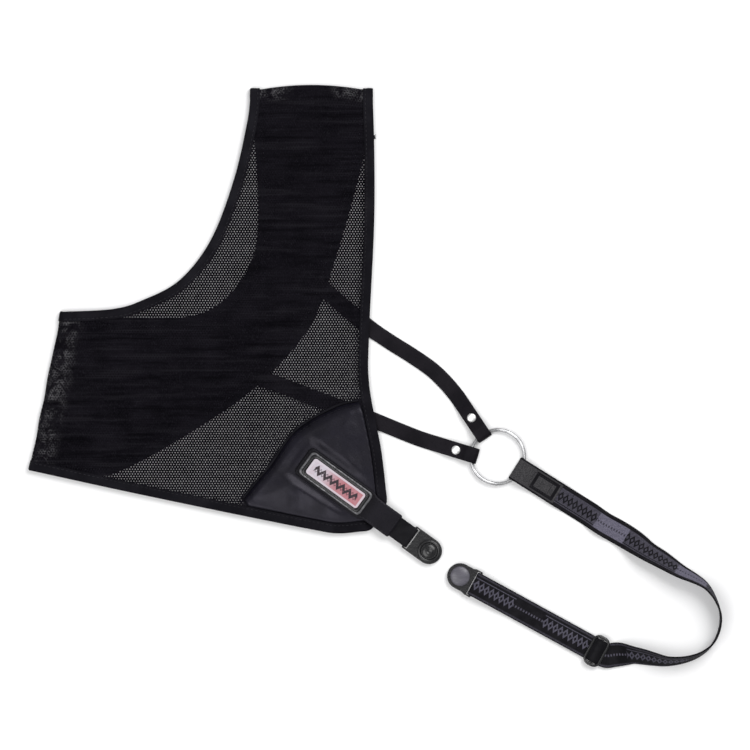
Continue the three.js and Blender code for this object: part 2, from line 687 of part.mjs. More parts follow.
function sliderFrame() {
  const low = BAND_OVER + BAND_LOW + GAP;
  const plate = slab(roundedRectangle(SLIDER.long, SLIDER.wide, SLIDER.corner), low, low + SLIDER.thick);
  const slotMiddle = (SLIDER.bar + SLOT.short) / 2;
  const slots = [-slotMiddle, slotMiddle].map((x) => (
    new THREE.BoxGeometry(SLOT.short, SLOT.long, THROUGH).translate(x, 0, 0)
  ));
  return cut(plate, ...slots);
}

const slider = new THREE.Group();
slider.position.set(SOCKET.x + runWay.x * SLIDER.at, SOCKET.y + runWay.y * SLIDER.at, 0);
slider.rotation.z = THREE.MathUtils.degToRad(SOCKET.angle);
guard.add(slider);
addPiece('slider', 'plastic', sliderFrame(), slider);

// Socket half: its round end points back towards the stud
const socketHalf = new THREE.Group();
socketHalf.position.set(SOCKET.x, SOCKET.y, 0);
socketHalf.rotation.z = THREE.MathUtils.degToRad(SOCKET.angle + 180);
guard.add(socketHalf);

function snapCap() {
  const top = SOCKET.z + CLIP.thick / 2 + GAP;
  return lathed([
    [0, 1.9], [POST.r, 1.9], [POST.r, top], [7.6, top], [7.8, top + 0.5], [6.6, top + 1.3],
    [3.6, top + 1.9], [0, top + 2.1],
  ], 28);
}

function snapSocket() {
  const top = SOCKET.z - CLIP.thick / 2 - GAP;
  return lathed([
    [3.7, 0], [5.6, 0], [5.8, 0.4], [5.8, top], [2, top], [2, top - 0.4], [3.7, top - 0.6], [3.7, 0],
  ]);
}

function snapSpring() {
  return new THREE.TorusGeometry(SPRING.r, SPRING.wire, 6, 20).translate(0, 0, SPRING.z);
}

const socketClip = clipBody(SOCKET.bar, BAND.width / 2 + GAP, SOCKET.halfWide, SOCKET.z);
addPiece('socket_clip', 'plastic', socketClip, socketHalf);
addPiece('snap_cap', 'plastic', snapCap(), socketHalf);
addPiece('snap_socket', 'steel', snapSocket(), socketHalf);
addPiece('snap_spring', 'steel', snapSpring(), socketHalf);

export default guard;
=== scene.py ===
"""A one-shoulder chest guard laid flat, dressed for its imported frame.

Shapes are worked out in millimetres, in the frame's own axes, and become metres in add_mesh.
"""
import math

import bpy
import numpy as np
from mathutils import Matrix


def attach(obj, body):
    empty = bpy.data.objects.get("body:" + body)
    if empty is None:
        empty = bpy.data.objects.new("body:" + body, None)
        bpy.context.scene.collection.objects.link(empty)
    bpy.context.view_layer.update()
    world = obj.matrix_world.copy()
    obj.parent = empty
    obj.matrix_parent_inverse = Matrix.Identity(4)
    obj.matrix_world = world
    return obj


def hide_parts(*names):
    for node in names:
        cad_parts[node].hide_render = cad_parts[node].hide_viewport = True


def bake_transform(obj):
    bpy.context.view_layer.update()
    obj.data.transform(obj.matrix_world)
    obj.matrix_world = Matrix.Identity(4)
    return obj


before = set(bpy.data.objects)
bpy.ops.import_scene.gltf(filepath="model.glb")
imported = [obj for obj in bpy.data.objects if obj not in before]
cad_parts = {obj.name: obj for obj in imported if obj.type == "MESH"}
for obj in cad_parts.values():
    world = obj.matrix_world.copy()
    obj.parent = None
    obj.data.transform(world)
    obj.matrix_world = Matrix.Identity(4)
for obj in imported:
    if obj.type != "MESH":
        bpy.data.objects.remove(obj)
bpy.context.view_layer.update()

MM = 0.001
VIEW = {"x": 78.4, "y": -40.8, "wide": 600}
FLOOR = {"side": 20000, "z": -0.03}

# Cloth and tape
CLOTH = 0.6
BACK_Z = 1.05
FRONT_Z = 4.5
FOLD_R = (FRONT_Z - BACK_Z) / 2
FOLD_Z = (FRONT_Z + BACK_Z) / 2
HALF_FOLD = math.pi * FOLD_R
UNDERLAP = 0.6
SHOULDER_BOW = 3.4
SHOULDER_MIDDLE = 27.6
TAPE_WIDE = 8.0
STITCH = {"pitch": 3.6, "long": 2.5, "radius": 0.24, "into": 6.2}
NET = {"across": 2.2, "up": 1.9, "hole": 0.43, "filled_past_patch": 1.5, "off_edge": 1.5}
KNIT = {"rows": 170, "columns": 60, "into_fold": 1.0, "into_tape": 1.2}

# Lower corner
PATCH_Z = 5.1
PATCH_THICK = 0.9
CORNER = {"at": np.array([47, -127.4]), "angle": -36}
TAB_Z = 6.3
TAB_THICK = 1.5
BADGE_Z = 8.1
STUD_AT = 92.2
STUD_Z = 3.1
STUD_BAR = 19.2

# Straps, ring and band
STRAP = {"wide": 12.5, "thick": 1.5}
RING = {"at": np.array([176.4, -106.2]), "z": 3.3, "r": 21.5, "wire": 1.5}
BAND = {"wide": 19.6, "thick": 1.4}
SOCKET = {"at": np.array([146.4, -201.6]), "z": 3.2, "angle": -28.7, "bar": 14.4}
SLIDER_AT = 124.4
CLIP = {"round": 10.4, "thick": 2.2, "bar": 1.2}
GAP = 0.3
BAND_PATTERN = {"repeat": 75.2, "shift": 5.4, "lozenge": 9, "start": 80, "bend": 270, "box": 68}


# ---- camera

def add_object(name, data):
    made = bpy.data.objects.new(name, data)
    bpy.context.scene.collection.objects.link(made)
    return made


def make_camera():
    data = bpy.data.cameras.new("camera")
    data.sensor_width = 36
    data.lens = 250
    camera = add_object("camera", data)
    distance = VIEW["wide"] * data.lens / data.sensor_width
    camera.location = (VIEW["x"] * MM, VIEW["y"] * MM, distance * MM)
    bpy.context.scene.camera = camera


make_camera()


# ---- lines

def unit(v):
    v = np.asarray(v, float)
    return v / np.maximum(np.linalg.norm(v, axis=-1, keepdims=True), 1e-12)


def way(degrees):
    return np.array([math.cos(math.radians(degrees)), math.sin(math.radians(degrees))])


def left_of(v):
    return np.stack([-v[..., 1], v[..., 0]], -1)


def tangents(line):
    return unit(np.gradient(line, axis=0))


def arc_length(line):
    return np.concatenate([[0], np.cumsum(np.linalg.norm(np.diff(line[:, :3], axis=0), axis=1))])


def sampled(values, run, at):
    """The rows of values, known at each run, worked out at other places."""
    return np.column_stack([np.interp(at, run, column) for column in values.T])


def spaced(line, step=None, count=None):
    """The same line with its points evenly spaced: about step apart, or count of them."""
    line = np.asarray(line, float)
    run = arc_length(line)
    count = count or max(2, round(run[-1] / step) + 1)
    return sampled(line, run, np.linspace(0, run[-1], count))


def spline(points, step=None, count=None):
    """A smooth curve through the points, in evenly spaced steps."""
    points = np.asarray(points, float)
    padded = np.vstack([points[:1], points, points[-1:]])
    t = np.linspace(0, 1, 24, endpoint=False)[:, None]
    spans = []
    for p0, p1, p2, p3 in zip(padded, padded[1:], padded[2:], padded[3:]):
        v0, v1 = (p2 - p0) / 2, (p3 - p1) / 2
        cubic, square = 2 * p1 - 2 * p2 + v0 + v1, 3 * p2 - 3 * p1 - 2 * v0 - v1
        spans.append(cubic * t ** 3 + square * t ** 2 + v0 * t + p1)
    return spaced(np.vstack([*spans, points[-1:]]), step, count)


def share_of(line, start, end):
    """The part of an evenly spaced line between two shares of its length."""
    last = len(line) - 1
    return line[round(start * last):round(end * last) + 1]


def smoothed(line, passes=2):
    """The line with its corners eased and its ends kept."""
    for _ in range(passes):
        line = line.copy()
        line[1:-1] = (line[:-2] + 2 * line[1:-1] + line[2:]) / 4
    return line


def looped(line):
    """The line with its first point once more at its end."""
    return np.vstack([line, line[:1]])


def at_height(plan, z):
    return np.column_stack([plan, np.full(len(plan), z)])


def full_turn(steps):
    return np.linspace(0, 2 * math.pi, steps, endpoint=False)


def half_turn(x, z, radius):
    """Half a turn round a bar, from above it to below it, bulging towards +X."""
    angle = np.linspace(math.pi / 2, -math.pi / 2, 15)
    return [(x + radius * math.cos(a), z + radius * math.sin(a)) for a in angle]


def distance_to(points, line):
    """How far each point in plan is from the nearest point of a line."""
    nearest = np.full(len(points), np.inf)
    for x, y in line:
        nearest = np.minimum(nearest, np.hypot(points[:, 0] - x, points[:, 1] - y))
    return nearest


def inside(points, outline):
    """Which points in plan lie within a closed outline."""
    found = np.zeros(len(points), bool)
    x, y = points.T
    for (x0, y0), (x1, y1) in zip(outline, np.roll(outline, -1, axis=0)):
        if y0 != y1:
            found ^= ((y0 > y) != (y1 > y)) & (x < (x1 - x0) * (y - y0) / (y1 - y0) + x0)
    return found


def eased(x, low, high):
    t = np.clip((x - low) / (high - low), 0, 1)
    return t * t * (3 - 2 * t)


def ripple(x, y, length, seed):
    """Soft irregular waves of about one length, about 1 high, the same each run."""
    chance = np.random.default_rng(seed)
    waves = 5
    total = 0
    for _ in range(waves):
        heading, phase = chance.uniform(0, 2 * math.pi, 2)
        pace = 2 * math.pi / (length * chance.uniform(0.7, 1.5))
        total = total + np.sin(pace * (x * math.cos(heading) + y * math.sin(heading)) + phase)
    return total / waves ** 0.5 / 1.5


# ---- meshes

def add_mesh(name, points, faces, material, uv=None, flat_faces=()):
    """A piece from points in millimetres. uv gives each point its place on the surface."""
    mesh = bpy.data.meshes.new(name)
    mesh.from_pydata((np.asarray(points, float) * MM).tolist(), [], faces)
    smooth = np.ones(len(mesh.polygons), bool)
    smooth[list(flat_faces)] = False
    mesh.polygons.foreach_set("use_smooth", smooth)
    if uv is not None:
        layer = mesh.uv_layers.new(name="UVMap")
        corners = np.zeros(len(mesh.loops), np.int32)
        mesh.loops.foreach_get("vertex_index", corners)
        layer.data.foreach_set("uv", (np.asarray(uv, float) * MM)[corners].ravel())
    mesh.materials.append(material)
    mesh.validate()
    return add_object(name, mesh)


def add_piece(name, slot, body, nodes, shape, at=np.asarray, finish=None):
    """A piece with its body, its record slot and the CAD nodes that it stands for.

    The shape is its points and faces, with or without their places on the surface and the faces
    to shade flat. at lays the points in place.
    """
    points, faces, *rest = shape
    piece = add_mesh(name, at(points), faces, finishes[finish or slot], *rest)
    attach(piece, body)
    if nodes:
        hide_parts(*nodes)
    return piece


def grid_faces(rows, columns, closed_rows=False, closed_columns=False):
    """Quads over rows of points, each row running across."""
    near = np.arange(rows if closed_rows else rows - 1)[:, None]
    side = np.arange(columns if closed_columns else columns - 1)[None, :]
    far, beside = (near + 1) % rows, (side + 1) % columns
    corners = [near * columns + side, near * columns + beside, far * columns + beside, far * columns + side]
    return np.stack(corners, -1).reshape(-1, 4).tolist()


def capped_faces(rows, columns):
    """Quads round rows of points, and a face over each end."""
    last = (rows - 1) * columns
    ends = [list(range(columns))[::-1], list(range(last, last + columns))]
    return grid_faces(rows, columns, closed_columns=True) + ends


def flipped(faces):
    return [face[::-1] for face in faces]


def merged(parts):
    """Several bodies as one."""
    points, faces, first = [], [], 0
    for part_points, part_faces, *_ in parts:
        points.append(part_points)
        faces += [[first + k for k in face] for face in part_faces]
        first += len(part_points)
    return np.vstack(points), faces


def sweep(stations, section, closed=False, swell=1):
    """Points, faces and surface places of a section carried along stations.

    The stations are their middles and the ways across and up. The section's points are
    (across, up), and swell multiplies up, by one factor or by one at each station and point.
    """
    middle, across, up = np.broadcast_arrays(*stations)
    section = np.asarray(section, float)
    lift = section[None, :, 1] * swell
    points = middle[:, None] + across[:, None] * section[None, :, :1] + up[:, None] * lift[..., None]
    rows, columns = points.shape[:2]
    faces = grid_faces(rows, columns, True, True) if closed else capped_faces(rows, columns)
    if np.sum(np.cross(tangents(middle), across) * up) < 0:
        faces = flipped(faces)
    places = np.stack(np.broadcast_arrays(arc_length(middle)[:, None], section[None, :, 0]), -1)
    return points.reshape(-1, 3), faces, places.reshape(-1, 2)


def strip(route, across, section):
    """A flat strip along a route, with the way across given at each of its points."""
    along = tangents(route)
    across = unit(across - along * np.sum(along * across, axis=1, keepdims=True))
    return sweep((route, across, np.cross(along, across)), section)


def flat_section(wide, thick, crown, steps=8):
    """A flat strip's section: round edges, and faces that swell by crown."""
    edge = thick / 2
    span = wide / 2 - edge
    top = [(x * span, edge + crown * (1 - x * x)) for x in np.linspace(1, -1, steps + 1)]
    turn = np.linspace(math.pi / 2, -math.pi / 2, 5)[1:-1]
    half = top + [(-span - edge * math.cos(a), edge * math.sin(a)) for a in turn]
    return half + [(-x, -z) for x, z in half]


def tube(line, radius, sides, taper):
    """A round cord that narrows over taper at each end."""
    along = tangents(line)
    side = unit(np.cross(along, [0.13, 0.21, 1.0]))
    top = np.cross(side, along)
    turn = full_turn(sides)
    run = arc_length(line)
    end = np.clip(np.minimum(run, run[-1] - run) / taper, 0, 1)
    size = radius * np.sqrt(np.clip(1 - (1 - end) ** 2, 0.04, 1))
    ring = side[:, None] * np.cos(turn)[None, :, None] + top[:, None] * np.sin(turn)[None, :, None]
    points = line[:, None] + ring * size[:, None, None]
    return points.reshape(-1, 3), flipped(capped_faces(len(line), sides))


ARCH = np.sin(np.linspace(0, math.pi, 5))


def stitches_along(line, place, pitch, long, radius, first=0.0, spare=0.0, taper=0.5):
    """A row of stitches. place turns the line's values under one stitch into the thread's points."""
    run = arc_length(line)
    under = np.linspace(0, 1, len(ARCH)) * long
    starts = np.arange(first, run[-1] - spare, pitch)
    return [tube(place(sampled(line, run, start + under)), radius, 6, taper) for start in starts]


def add_thread(name, slot, body, strands):
    return add_piece(name, slot, body, [], merged(strands), finish="thread")


def turned(profile, sides):
    """Rows of points, one for each (radius, height) of a profile turned about Z."""
    radius, height = np.asarray(profile, float).T[..., None]
    turn = full_turn(sides)
    return np.stack(np.broadcast_arrays(radius * np.cos(turn), radius * np.sin(turn), height), -1)


def lathe(profile, sides=64):
    """A turned body about Z from a profile that starts and ends on the axis."""
    rows = turned(profile[1:-1], sides)
    points = np.vstack([rows.reshape(-1, 3), [[0, 0, profile[0][1]], [0, 0, profile[-1][1]]]])
    faces = grid_faces(len(rows), sides, closed_columns=True)
    low, high = len(points) - 2, len(points) - 1
    last = (len(rows) - 1) * sides
    for k in range(sides):
        after = (k + 1) % sides
        faces += [[low, after, k], [high, last + k, last + after]]
    return points, faces


def ring_lathe(profile, sides=64):
    """A turned ring about Z from a closed counterclockwise profile."""
    points = turned(profile, sides).swapaxes(0, 1).reshape(-1, 3)
    return points, flipped(grid_faces(sides, len(profile), True, True))


def arc_points(x, y, radius, start, end, steps=8):
    angle = np.radians(np.linspace(start, end, steps + 1))
    return [(x + radius * math.cos(a), y + radius * math.sin(a)) for a in angle]


def rounded_rectangle(long, wide, corner, steps=8):
    x, y = long / 2 - corner, wide / 2 - corner
    turns = [(x, y, 0), (-x, y, 90), (-x, -y, 180), (x, -y, 270)]
    return np.array([p for cx, cy, a in turns for p in arc_points(cx, cy, corner, a, a + 90, steps)])


def pulled_in(outline, depth):
    """A counterclockwise outline moved inwards by depth."""
    outline = np.asarray(outline, float)
    before = unit(outline - np.roll(outline, 1, axis=0))
    after = unit(np.roll(outline, -1, axis=0) - outline)
    inward = unit(left_of(before) + left_of(after))
    stretch = np.clip(np.sum(inward * left_of(after), axis=1, keepdims=True), 0.5, 1)
    return outline + inward * depth / stretch


def plate(outline, low, high, bevel, dome=0.0, dome_in=0.0):
    """A flat plate with rounded edges: points, faces, places and the faces to shade flat."""
    turn = np.linspace(0, math.pi / 2, 5)
    rings = [(bevel * (1 - math.sin(a)), low + bevel * (1 - math.cos(a))) for a in turn]
    rings += [(bevel * (1 - math.cos(a)), high - bevel * (1 - math.sin(a))) for a in turn]
    if dome:
        rings += [(bevel + dome_in * s, high + dome * math.sin(s * math.pi / 2)) for s in (0.3, 0.65, 1)]
    points = np.vstack([at_height(pulled_in(outline, depth), z) for depth, z in rings])
    faces = capped_faces(len(rings), len(outline))
    return points, faces, points[:, :2], [len(faces) - 2, len(faces) - 1]


def raised(base, profile):
    """A profile's points, with their heights counted from base."""
    return [(x, base + z) for x, z in profile]


def rim(outer, inner, profile):
    """A rim between two outlines, from its section's (share of the way in, height) points."""
    points = np.vstack([at_height(outer * (1 - s) + inner * s, z) for s, z in profile])
    return points, grid_faces(len(profile), len(outer), True, True), points[:, :2]


def laid_at(place, degrees=0.0):
    """Gives a function that turns local points by degrees about Z and moves them to a place."""
    along, over = way(degrees), left_of(way(degrees))

    def lay(points):
        points = np.asarray(points, float)
        return np.column_stack([points[:, :1] * along + points[:, 1:2] * over + place, points[:, 2]])

    return lay


at_corner = laid_at(CORNER["at"], CORNER["angle"])
at_stud = laid_at(CORNER["at"] + way(CORNER["angle"]) * STUD_AT, CORNER["angle"])
at_socket = laid_at(SOCKET["at"], SOCKET["angle"] + 180)
at_slider = laid_at(SOCKET["at"] + way(SOCKET["angle"]) * SLIDER_AT, SOCKET["angle"])


# ---- materials

class Finish:
    """One material, with short calls for the nodes that the finishes share."""

    def __init__(self, name, **shader):
        self.material = bpy.data.materials.new(name)
        self.material.use_nodes = True
        self.tree = self.material.node_tree
        self.shader = self.tree.nodes["Principled BSDF"]
        for key, value in shader.items():
            self.shader.inputs[key.replace("_", " ")].default_value = value

    def feed(self, socket, value):
        if isinstance(value, bpy.types.NodeSocket):
            self.tree.links.new(value, socket)
        else:
            socket.default_value = value

    def node(self, kind, feeds=(), out=0, **settings):
        made = self.tree.nodes.new("ShaderNode" + kind)
        for key, value in settings.items():
            setattr(made, key, value)
        for key, value in dict(feeds).items():
            self.feed(made.inputs[key], value)
        return made.outputs[out]

    def parts(self, source):
        """A point's coordinates in metres: on the surface for UV, in the frame for Object."""
        split = self.tree.nodes.new("ShaderNodeSeparateXYZ")
        self.feed(split.inputs[0], self.node("TexCoord", out=source))
        return split.outputs

    def math(self, operation, a, b=0.0, c=0.0):
        return self.node("Math", {0: a, 1: b, 2: c}, operation=operation)

    def times(self, a, b):
        return self.math("MULTIPLY", a, b)

    def plus(self, a, b):
        return self.math("ADD", a, b)

    def minus(self, a, b):
        return self.math("SUBTRACT", a, b)

    def most(self, a, b):
        return self.math("MAXIMUM", a, b)

    def size(self, value):
        return self.math("ABSOLUTE", value)

    def noise(self, scale, detail, stretch=(1, 1, 1), distortion=0.0):
        at = self.node("Mapping", {"Vector": self.node("TexCoord", out="Object"), "Scale": stretch})
        return self.node("TexNoise", {"Vector": at, "Scale": scale, "Detail": detail,
                                      "Distortion": distortion})

    def step(self, value, low, high, start=0.0, end=1.0):
        return self.node("MapRange", {"Value": value, "From Min": low, "From Max": high,
                                      "To Min": start, "To Max": end}, interpolation_type="SMOOTHSTEP")

    def mix(self, share, a, b):
        made = self.tree.nodes.new("ShaderNodeMix")
        made.data_type = "RGBA"
        self.feed(made.inputs[0], share)
        for socket, value in ((made.inputs[6], a), (made.inputs[7], b)):
            self.feed(socket, value if isinstance(value, bpy.types.NodeSocket) else (*value, 1))
        return made.outputs[2]

    def ramp(self, value, low, high, a, b, share=1.0):
        """From colour a to colour b, or a share of the way, as a value goes from low to high."""
        return self.mix(self.step(value, low, high, 0.0, share), a, b)

    def waves(self, value, pitch):
        """Even ridges across a coordinate, between 0 and 1."""
        turn = self.times(value, 2 * math.pi / (pitch * MM))
        return self.math("MULTIPLY_ADD", self.math("SINE", turn), 0.5, 0.5)

    def within(self, value, half, soft=0.12):
        """1 where a coordinate is within half millimetres of 0, with a soft edge."""
        return self.step(self.size(value), (half - soft) * MM, (half + soft) * MM, 1.0, 0.0)

    def cycle(self, value, pitch):
        """How far round its cycle of pitch millimetres a coordinate is, from 0 to 1."""
        return self.math("FRACT", self.math("DIVIDE", value, pitch * MM))

    def zigzag(self, value, pitch):
        """A triangle wave over a coordinate, between -1 and 1."""
        saw = self.math("MULTIPLY_ADD", self.cycle(value, pitch), 2, -1)
        return self.math("MULTIPLY_ADD", self.size(saw), 2, -1)

    def colour(self, value):
        self.feed(self.shader.inputs["Base Color"], value)

    def rough(self, value, start, end, low=0.3, high=0.7):
        """Roughness that goes from start to end as a value goes from low to high."""
        self.feed(self.shader.inputs["Roughness"], self.step(value, low, high, start, end))

    def bump(self, *heights):
        """Bump from (height, distance in millimetres) pairs."""
        under = {}
        for height, distance in heights:
            feeds = {"Height": height, "Distance": distance * MM, "Strength": 1.0, **under}
            under = {"Normal": self.node("Bump", feeds)}
        self.feed(self.shader.inputs["Normal"], under["Normal"])


def net_finish():
    """Warp-knitted black yarn, with pale curls where the folds have roughed it up."""
    f = Finish("mesh_yarn", Specular_IOR_Level=0.02)
    from_side, from_shoulder, _ = f.parts("UV")
    strands = f.noise(2600, 2, (1, 0.25, 1))
    bars = f.noise(330, 3, (0.05, 1, 1))
    tone = f.ramp(f.noise(38, 4), 0.35, 0.68, (0.0027, 0.0024, 0.0038), (0.0060, 0.0054, 0.0078))
    tone = f.ramp(strands, 0.45, 0.75, tone, (0.0130, 0.0118, 0.0160))
    tone = f.ramp(bars, 0.5, 0.7, tone, (0.0140, 0.0132, 0.0165), 0.5)
    tone = f.mix(f.step(bars, 0.3, 0.48, 0.6, 0), tone, (0.0012, 0.0011, 0.0018))
    clumps = f.step(f.noise(95, 4, distortion=1.4), 0.35, 0.62)
    curls = f.times(f.step(f.noise(300, 4, distortion=2.5), 0.36, 0.62), clumps)
    near_side = f.times(f.step(from_side, 5 * MM, 21 * MM, 1.0, 0.0),
                        f.step(from_side, 0.5 * MM, 3 * MM, 0.3, 1.0))
    off_middle = f.size(f.minus(f.parts("Object")[0], SHOULDER_MIDDLE * MM))
    near_shoulder = f.times(f.step(from_shoulder, 2 * MM, 11 * MM, 1.0, 0.0),
                            f.step(off_middle, 12 * MM, 26 * MM))
    f.colour(f.mix(f.times(curls, f.most(near_side, near_shoulder)), tone, (0.074, 0.072, 0.078)))
    f.rough(strands, 0.85, 0.65)
    f.bump((strands, 0.12))
    return f.material


def knit_finish():
    """Fine black jersey: ribs across the panel, and a darker border outside a row of needle marks."""
    f = Finish("black_jersey", Specular_IOR_Level=0.04)
    x, y, _ = f.parts("Object")
    _, from_edge, _ = f.parts("UV")
    ribs, loops = f.waves(y, 1.25), f.waves(x, 0.8)
    worn = f.noise(30, 3, (0.5, 1.4, 1))
    bars = f.noise(150, 3, (0.06, 1, 1))
    seam = f.within(f.minus(from_edge, 15 * MM), 0.5, 0.3)
    border = f.step(from_edge, 14.5 * MM, 15.5 * MM, 1.0, 0.0)
    tone = f.ramp(worn, 0.4, 0.7, (0.0024, 0.0024, 0.0034), (0.0052, 0.0051, 0.0066))
    tone = f.ramp(bars, 0.42, 0.7, tone, (0.0105, 0.0104, 0.0124), 0.6)
    tone = f.mix(f.times(ribs, 0.4), tone, (0.0084, 0.0082, 0.0100))
    tone = f.mix(f.times(border, 0.5), tone, (0.0020, 0.0020, 0.0028))
    f.colour(f.mix(f.times(seam, 0.55), tone, (0.0010, 0.0010, 0.0015)))
    f.rough(worn, 0.92, 0.78)
    f.bump((seam, -0.25), (ribs, 0.16), (loops, 0.07))
    return f.material


def tape_finish():
    """Ribbed binding tape with a woven edge."""
    f = Finish("binding_tape", Specular_IOR_Level=0.09)
    along, into, _ = f.parts("UV")
    ribs, threads = f.waves(along, 0.62), f.waves(into, 0.5)
    worn = f.noise(60, 3)
    tone = f.ramp(worn, 0.35, 0.7, (0.0030, 0.0027, 0.0044), (0.0070, 0.0064, 0.0094))
    f.colour(f.mix(f.times(ribs, 0.45), tone, (0.0105, 0.0097, 0.0136)))
    f.rough(worn, 0.88, 0.7)
    f.bump((ribs, 0.1), (threads, 0.05))
    return f.material


def thread_finish():
    """Twisted sewing thread."""
    f = Finish("sewing_thread", Specular_IOR_Level=0.2)
    twist = f.noise(2200, 1)
    f.colour(f.ramp(twist, 0.35, 0.65, (0.0055, 0.0054, 0.0070), (0.0190, 0.0185, 0.0235)))
    f.rough(twist, 0.7, 0.45)
    f.bump((twist, 0.06))
    return f.material


def leather_finish(name, dark, light, roughness, grain, specular, painted_shade_to=None):
    """Coated leather: pebbled grain and creases. Up to a place along it, it may carry painted shade, darker
    towards black, for the shadow round the badge.
    """
    f = Finish(name, Specular_IOR_Level=specular, Specular_Tint=(0.9, 0.86, 1.0, 1.0))
    at = f.node("TexCoord", out="Object")
    pebbles = f.node("TexVoronoi", {"Vector": at, "Scale": 1000 / grain}, feature="SMOOTH_F1")
    creases = f.noise(900 / grain, 4)
    cloudy = f.noise(42, 4)
    tone = f.ramp(cloudy, 0.32, 0.7, dark, light)
    tone = f.ramp(creases, 0.55, 0.78, tone, tuple(1.8 * c for c in light), 0.4)
    tone = f.ramp(pebbles, 0.45, 0.8, tone, tuple(0.55 * c for c in dark), 0.5)
    # Painted shade: up to this place along the piece the tone is mixed three quarters of the way to black, as
    # if the badge shaded it
    if painted_shade_to is not None:
        along = f.parts("UV")[0]
        tone = f.mix(f.step(along, painted_shade_to * MM, (painted_shade_to + 8) * MM, 0.75, 0.0), tone, (0, 0, 0))
    f.colour(tone)
    f.rough(cloudy, roughness + 0.07, roughness - 0.06)
    f.bump((pebbles, -0.05), (creases, 0.05))
    return f.material


def rim_finish():
    """Grey lacquered metal, rubbed on its crest."""
    f = Finish("grey_lacquer", Metallic=0.4, Specular_IOR_Level=0.4)
    rubbed = f.noise(420, 4)
    f.colour(f.ramp(rubbed, 0.35, 0.7, (0.070, 0.070, 0.075), (0.17, 0.168, 0.178)))
    f.rough(rubbed, 0.5, 0.34)
    f.bump((rubbed, 0.02))
    return f.material


def badge_finish():
    """Plate that runs from pale grey into muted red, with a pale border and a heavy dark zigzag."""
    f = Finish("badge_print", Specular_IOR_Level=0.3, Coat_Weight=0.15, Coat_Roughness=0.25)
    along, over, _ = f.parts("UV")
    cloudy = f.noise(500, 3)
    ground = f.ramp(along, -16 * MM, 4 * MM, (0.50, 0.47, 0.53), (0.38, 0.135, 0.155))
    ground = f.ramp(cloudy, 0.3, 0.75, ground, (0.44, 0.27, 0.31), 0.4)
    border = f.most(f.step(f.size(along), 23.0 * MM, 23.6 * MM), f.step(f.size(over), 5.2 * MM, 5.7 * MM))
    ground = f.mix(f.times(border, 0.85), ground, (0.54, 0.49, 0.54))
    swing = f.times(f.zigzag(along, 6.2), 2.3 * MM)
    line = f.within(f.minus(over, swing), 1.9, 0.4)
    echo = f.within(f.plus(over, swing), 0.55, 0.3)
    inked = f.times(f.most(line, f.times(echo, 0.75)), f.within(along, 20.5, 0.4))
    inked = f.times(inked, f.step(cloudy, 0.2, 0.45, 0.7, 1.0))
    f.colour(f.mix(inked, ground, (0.020, 0.010, 0.016)))
    f.rough(cloudy, 0.45, 0.3)
    f.bump((inked, 0.05), (cloudy, 0.01))
    return f.material


def webbing_finish():
    """Plain black webbing with a twill's slant."""
    f = Finish("plain_webbing", Specular_IOR_Level=0.1)
    along, over, _ = f.parts("UV")
    slant = f.waves(f.plus(along, f.times(over, 1.4)), 1.0)
    twill = f.times(slant, f.math("MULTIPLY_ADD", f.waves(over, 1.0), 0.5, 0.5))
    worn = f.noise(120, 3)
    tone = f.ramp(worn, 0.35, 0.7, (0.0032, 0.0032, 0.0042), (0.0075, 0.0073, 0.0090))
    f.colour(f.mix(f.times(twill, 0.6), tone, (0.0140, 0.0135, 0.0165)))
    f.rough(worn, 0.8, 0.62)
    f.bump((twill, 0.15))
    return f.material


